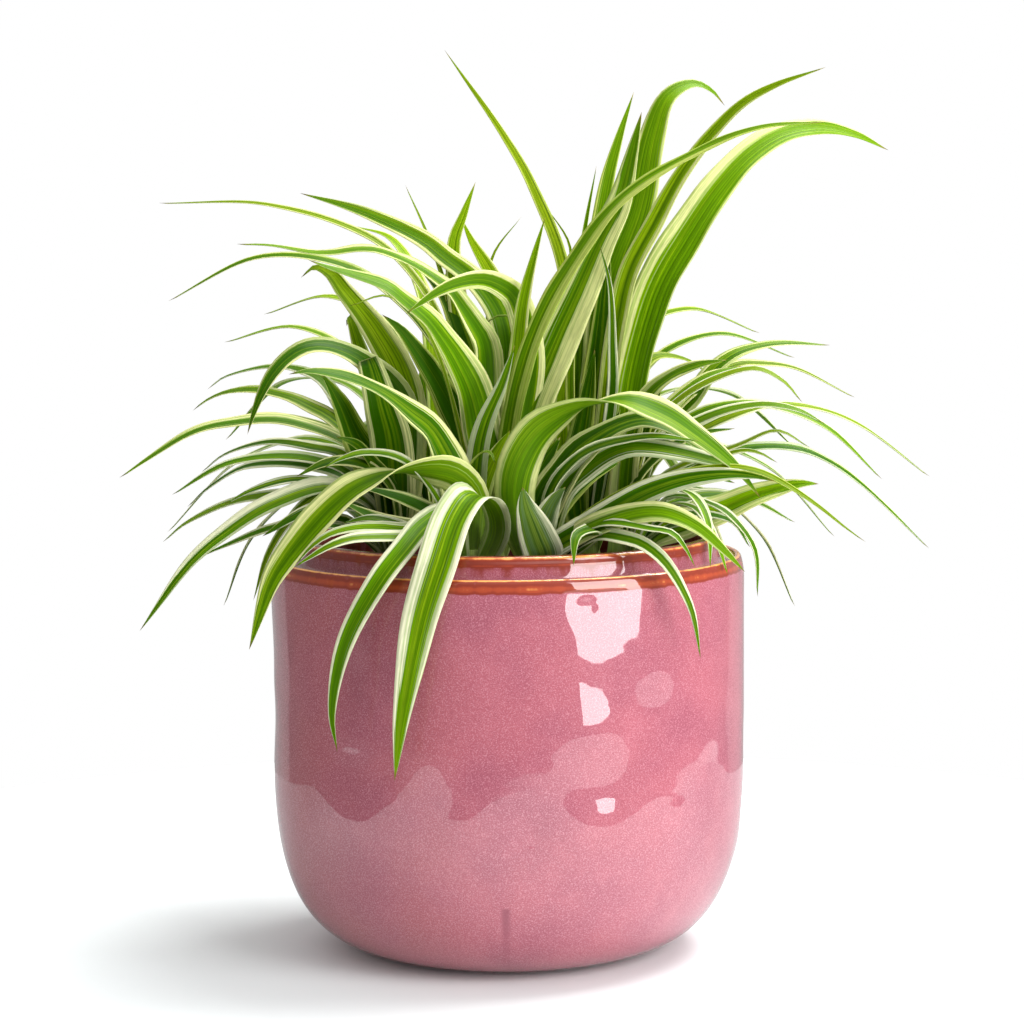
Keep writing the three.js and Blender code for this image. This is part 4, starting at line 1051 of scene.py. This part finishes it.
def blade_frames(rib, turn_at_root, turn_at_tip):
    """For each point of a midrib but the tip: how far along it is, the point, the way to
    one edge, and the way the upper side faces."""
    reach = Vector(rib[-1] - rib[0])
    up = Vector((-reach.x, -reach.y, 0.0))
    stations = len(rib) - 1
    for i in range(stations):
        t = i / stations
        run = Vector(rib[i + 1] - rib[max(i - 1, 0)]).normalized()
        up = square_to(run, up)
        twist = smooth(t, TWIST_START, TWIST_END)
        turn = math.radians(turn_at_root + (turn_at_tip - turn_at_root) * twist)
        normal = square_to(run, up * math.cos(turn) + FRONT * math.sin(turn))
        yield t, Vector(rib[i]), run.cross(normal), normal


class Foliage:
    """The points, faces and attributes of one rosette's mesh, as they are gathered."""

    KINDS = {
        "across": "FLOAT",
        "along": "FLOAT",
        "place": "FLOAT_VECTOR",
        "green": "FLOAT_COLOR",
        "edge": "FLOAT_COLOR",
        "margins": "FLOAT_VECTOR",
    }

    def __init__(self):
        self.vertices = []
        self.faces = []
        self.flat_faces = []
        self.values = {name: [] for name in self.KINDS}

    def add_point(self, point, *values):
        self.vertices.append(tuple(point))
        for gathered, value in zip(self.values.values(), values):
            gathered.append(value)

    def add_blade_faces(self, first, rows):
        """The skins of a blade whose upper rows of points, as many under rows and tip
        start at an index, and the flat strip round its edge."""
        back = first + rows * COLUMNS
        tip = back + rows * COLUMNS
        last = (rows - 1) * COLUMNS
        for start in (first, back):
            for row in range(rows - 1):
                for column in range(COLUMNS - 1):
                    a = start + row * COLUMNS + column
                    face = (a, a + 1, a + COLUMNS + 1, a + COLUMNS)
                    self.faces.append(face if start == first else face[::-1])
        for column in range(COLUMNS - 1):
            self.faces.append((first + last + column, first + last + column + 1, tip))
            self.faces.append((back + last + column + 1, back + last + column, tip))
        flat_from = len(self.faces)
        for a in range(first, first + COLUMNS - 1):
            b = a + back - first
            self.faces.append((a + 1, a, b, b + 1))
        for a in range(0, last, COLUMNS):
            b = a + COLUMNS
            c, d = a + COLUMNS - 1, b + COLUMNS - 1
            self.faces.append((first + a, first + b, back + b, back + a))
            self.faces.append((first + d, first + c, back + c, back + d))
        end = last + COLUMNS - 1
        self.faces.append((first + last, tip, back + last))
        self.faces.append((tip, first + end, back + end))
        self.flat_faces += range(flat_from, len(self.faces))

    def make(self, name, node, material):
        piece = make_mesh(name, self.vertices, self.faces, material, self.flat_faces)
        for attribute, kind in self.KINDS.items():
            add_attribute(piece, attribute, kind, self.values[attribute])
        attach(piece, "root")
        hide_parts(node)


def add_blade(foliage, crown, leaf, draw):
    """One leaf: a thin closed blade, channelled along its rib, with gently waved edges."""
    green, edge, low, high, width, turn_at_root, turn_at_tip, *places = leaf
    rib, length = midrib(crown, places)
    seed = draw.uniform(0.0, 100.0)
    swing, low_wave, high_wave, _ = [draw.uniform(0.0, FULL_TURN) for _ in range(4)]
    wavelength = draw.uniform(*WAVELENGTHS)
    tone = draw.uniform(*TONES)
    middle = (*(channel * tone for channel in linear(GREENS[green])), 1.0)
    margin = (*linear(EDGES[edge]), 1.0)
    first = len(foliage.vertices)
    upper, under = [], []
    for t, point, side, normal in blade_frames(rib, turn_at_root, turn_at_tip):
        share = width_share(t)
        waves = t * length / wavelength * 2
        half = width / 2 * share * (1 + WIDTH_WAVE * math.sin(waves + swing))
        channel = ROOT_CHANNEL + (TIP_CHANNEL - ROOT_CHANNEL) * smooth(t, 0.0, CHANNEL_END)
        for across in np.linspace(-1.0, 1.0, COLUMNS):
            wave = math.sin(waves * math.pi + (low_wave if across < 0 else high_wave))
            lift = half * (channel * trough(across) + EDGE_WAVE * across * across * wave)
            top = point + side * (across * half) + normal * lift
            thickness = EDGE_THICKNESS + (RIB_THICKNESS - EDGE_THICKNESS) * (1 - across * across)
            thickness *= 1 - TIP_THINNING + TIP_THINNING * share
            place = (across * width / 2, t * length, seed)
            upper.append((top, across, t, place, middle, margin, (low, high, 1.0)))
            bottom = top - normal * thickness
            under.append((bottom, across, t, place, middle, margin, (low, high, 0.0)))
    tip = (rib[-1], 0.0, 1.0, (0.0, length, seed), middle, margin, (low, high, 1.0))
    for values in (*upper, *under, tip):
        foliage.add_point(*values)
    foliage.add_blade_faces(first, len(rib) - 1)


def add_crown(foliage, crown):
    """The pale sheathed stub that a rosette's leaves rise from."""
    first = len(foliage.vertices)
    pale = (*linear(GREENS["sheath"]), 1.0)
    edge = (*linear(EDGES["cream"]), 1.0)
    low = SOIL_TOP - CROWN_DEPTH
    for ring in range(CROWN_RINGS):
        share = ring / (CROWN_RINGS - 1)
        height = low + (SOIL_TOP + CROWN_HEIGHT - low) * share
        radius = CROWN_RADIUS + (CROWN_TIP_RADIUS - CROWN_RADIUS) * share**1.5
        for side in range(CROWN_SIDES):
            angle = side / CROWN_SIDES * FULL_TURN
            ridge = radius * (1 + CROWN_RIDGE * math.sin(angle * CROWN_RIDGES + share * 3))
            x = crown[0] + ridge * math.cos(angle)
            y = crown[1] + ridge * math.sin(angle)
            place = (angle * CROWN_RADIUS, height, crown[0])
            foliage.add_point((x, y, height), 0.0, 0.0, place, pale, edge, (0.0, 0.0, 1.0))
    foliage.faces += ring_faces(CROWN_RINGS, CROWN_SIDES, first)
    top = first + (CROWN_RINGS - 1) * CROWN_SIDES
    foliage.faces.append(tuple(range(top, top + CROWN_SIDES)))
    foliage.faces.append(tuple(reversed(range(first, first + CROWN_SIDES))))


def make_rosettes():
    material = leaf_material()
    for order, (node, (crown, *leaves)) in enumerate(ROSETTES.items()):
        draw = random.Random(order)
        foliage = Foliage()
        add_crown(foliage, crown)
        for leaf in leaves:
            add_blade(foliage, crown, leaf, draw)
        foliage.make(node.replace("rosette", "leaves"), node, material)


def leaf_material():
    """A blade with a striped green middle and pale margins, which light shines through a
    little."""
    shader = new_material("spider_leaf")
    place = shader.attribute("place", "Vector")
    low, high, upper = shader.split(shader.attribute("margins", "Vector"))
    along = shader.attribute("along")
    patterns = {}
    for name, (*pitch, detail) in LEAF_PATTERNS.items():
        patterns[name] = shader.noise(shader.scaled(place, pitch), 1.0, detail, 0.5)
    depth = margin_depth(shader, along, low, high, patterns)
    pale = shader.spread(depth, -MARGIN_SOFTNESS, MARGIN_SOFTNESS)
    color = leaf_ground(shader, depth, pale, patterns)
    color = leaf_veins(shader, color, pale, place, patterns)
    color = leaf_ends(shader, color, along)
    color = shader.blend(shader.choose(upper, 0.2, 0.0), color, linear(UNDERSIDE))
    surface = shader.add("ShaderNodeBsdfPrincipled", {
        "Base Color": color,
        "Roughness": shader.spread(patterns["veins"], 0.3, 0.7, 0.36, 0.5),
        "Specular IOR Level": 0.14,
        "Specular Tint": (0.8, 1.0, 0.35),
        "Normal": shader.bump(patterns["veins"], 0.35, 0.0003),
    })
    glow = shader.blend(0.45, color, linear(GLOW))
    through = shader.add("ShaderNodeBsdfTranslucent", {"Color": glow})
    return shader.finish(shader.mix_surfaces(SHINE_THROUGH, surface, through))


def margin_depth(shader, along, low, high, patterns):
    """How far a point lies inside the pale margin, which narrows to the tip, or, negative,
    in the green."""
    across = shader.attribute("across")
    side = shader.math("GREATER_THAN", across, 0.0)
    margin = shader.product(shader.choose(side, low, high), MARGIN_SPREAD)
    margin = shader.product(margin, shader.spread(along, 0.7, 1.0, 1.0, 0.25))
    waver = shader.spread(patterns["stripes"], 0.3, 0.7, -MARGIN_WAVER, MARGIN_WAVER)
    inward = shader.math("SUBTRACT", 1.0, shader.math("ABSOLUTE", across))
    return shader.math("SUBTRACT", margin, shader.math("ADD", inward, waver))


def leaf_ground(shader, depth, pale, patterns):
    """The green middle with darker bands and paler streaks, thin pale lines beside the
    margin, and the margin with a tint of green."""
    green = shader.attribute("green", "Color")
    edge = shader.attribute("edge", "Color")
    dark = shader.blend(1.0, green, linear(SHADE), "MULTIPLY")
    bright = shader.blend(0.5, green, linear(STREAK))
    streaks = shader.spread(patterns["stripes"], 0.52, 0.62, 0.0, 0.6)
    shades = shader.spread(patterns["blotches"], 0.4, 0.7, 0.0, 0.35)
    nearby = shader.spread(depth, -0.26, -0.06)
    pale_lines = shader.product(nearby, shader.spread(patterns["lines"], 0.58, 0.64, 0.0, 0.6))
    middle = shader.blend(shader.spread(patterns["bands"], 0.4, 0.62), dark, green)
    middle = shader.blend(streaks, middle, bright)
    middle = shader.blend(shades, middle, dark)
    middle = shader.blend(pale_lines, middle, edge)
    tint = shader.blend(shader.spread(patterns["stripes"], 0.42, 0.5, 0.45, 0.0), edge, green)
    return shader.blend(pale, middle, tint)


def leaf_veins(shader, color, pale, place, patterns):
    """Dark lines along the blade, strong in its green and faint in its margins: veins,
    short fibres, and ribs at an even pitch that sway a little."""
    green_share = shader.spread(pale, 0.0, 1.0, 1.0, 0.25)
    sway = shader.spread(patterns["bands"], 0.2, 0.8, 0.0, RIB_LINE_SWAY)
    phase = shader.math("ADD", shader.product(shader.split(place)[0], RIB_LINE_PHASE), sway)
    ribs = shader.spread(shader.math("SINE", phase), 0.1, 0.95, 0.0, 0.45)
    veins = shader.spread(patterns["veins"], 0.38, 0.5, 0.4, 0.0)
    fibres = shader.spread(patterns["fibres"], 0.35, 0.6, 0.14, 0.0)
    for share in (shader.product(green_share, veins), fibres, shader.product(green_share, ribs)):
        color = shader.blend(share, color, linear(VEIN))
    return color


def leaf_ends(shader, color, along):
    """A dry tip and a pale root."""
    color = shader.tinted(color, DRY_TIP, along, 0.965, 0.998, 0.0, 0.8)
    return shader.tinted(color, ROOT_PALE, along, 0.02, 0.2, 0.4, 0.0)


# The studio.


def mirrored_ray(shader):
    return shader.add("ShaderNodeLightPath").outputs["Is Glossy Ray"]


def make_floor():
    """A round white table top, whose edge the pot mirrors, dimmer in the gloss than to
    the eye."""
    points = [(x, y, 0.0) for x, y in around(TABLE_RADIUS, TABLE_SIDES)]
    shader = new_material("white_table")
    place = shader.place()
    plain, worn = (linear(tone) for tone in TABLE_TONES)
    tone = shader.blend(shader.noise(place, TABLE_MOTTLE), plain, worn)
    dimming = shader.spread(shader.split(place)[1], *TABLE_DIMMING)
    dim = shader.product(mirrored_ray(shader), dimming)
    tone = shader.blend(dim, tone, linear(TABLE_MIRRORED))
    material = shader.finish(shader.add("ShaderNodeBsdfDiffuse", {"Color": tone}))
    floor = make_mesh("floor", points, [tuple(range(TABLE_SIDES))], material)


def add_softbox(name, place, size, power, aim):
    data = bpy.data.lights.new(name, "AREA")
    data.shape = "RECTANGLE"
    data.size, data.size_y = (side * MM for side in size)
    data.energy = power
    lamp = bpy.data.objects.new(name, data)
    spot = Vector(place) * MM
    turn = (Vector(aim) * MM - spot).to_track_quat("-Z", "Y").to_matrix().to_4x4()
    lamp.matrix_world = Matrix.Translation(spot) @ turn
    bpy.context.collection.objects.link(lamp)


def make_world():
    """White to the camera; to the object a studio with a bright backdrop behind it, a
    bright ceiling, dim sides and front, and below the table's edge bright paper."""
    world = bpy.data.worlds.new("studio")
    bpy.context.scene.world = world
    shader = Shader(world)
    direction = shader.add("ShaderNodeTexCoord").outputs["Generated"]
    x, y, z = shader.split(direction)
    across = shader.add("ShaderNodeCombineXYZ", {0: x, 1: y}).outputs[0]
    reach = shader.add("ShaderNodeVectorMath", {0: across}, operation="LENGTH").outputs["Value"]
    backward = shader.math("DIVIDE", y, shader.math("MAXIMUM", reach, 0.001))
    edge = math.cos(BACKDROP_ANGLE)
    mirrored = mirrored_ray(shader)
    front = shader.choose(mirrored, WORLD_FILL, WORLD_FRONT_MIRRORED)
    back = shader.choose(mirrored, WORLD_BACK, WORLD_BACK_MIRRORED)
    low_edge, high_edge = edge - BACKDROP_SOFTNESS, edge + BACKDROP_SOFTNESS
    backdrop = shader.spread(backward, low_edge, high_edge, front, back)
    ceiling = shader.spread(z, *CEILING)
    paper = shader.product(shader.spread(x, *PAPER), shader.spread(z, *BELOW_TABLE))
    level = shader.math("MAXIMUM", shader.math("MAXIMUM", backdrop, ceiling), paper)
    lit = shader.add("ShaderNodeBackground", {"Strength": level})
    seen = shader.add("ShaderNodeBackground", {"Strength": 1.0, "Color": (1.0, 1.0, 1.0)})
    to_camera = shader.add("ShaderNodeLightPath").outputs["Is Camera Ray"]
    shader.finish(shader.mix_surfaces(to_camera, lit, seen), "ShaderNodeOutputWorld")


def make_studio():
    make_floor()
    make_world()
    for name, lamp in LAMPS.items():
        add_softbox(name, *lamp)
    bpy.context.scene.view_settings.view_transform = "Standard"


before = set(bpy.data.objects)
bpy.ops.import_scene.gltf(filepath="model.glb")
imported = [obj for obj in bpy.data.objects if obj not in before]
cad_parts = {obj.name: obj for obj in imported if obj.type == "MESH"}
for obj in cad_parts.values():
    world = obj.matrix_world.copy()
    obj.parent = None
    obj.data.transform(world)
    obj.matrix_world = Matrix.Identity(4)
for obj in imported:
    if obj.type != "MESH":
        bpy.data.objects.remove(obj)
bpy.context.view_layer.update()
add_camera()
make_pot()
make_soil()
make_rosettes()
make_studio()
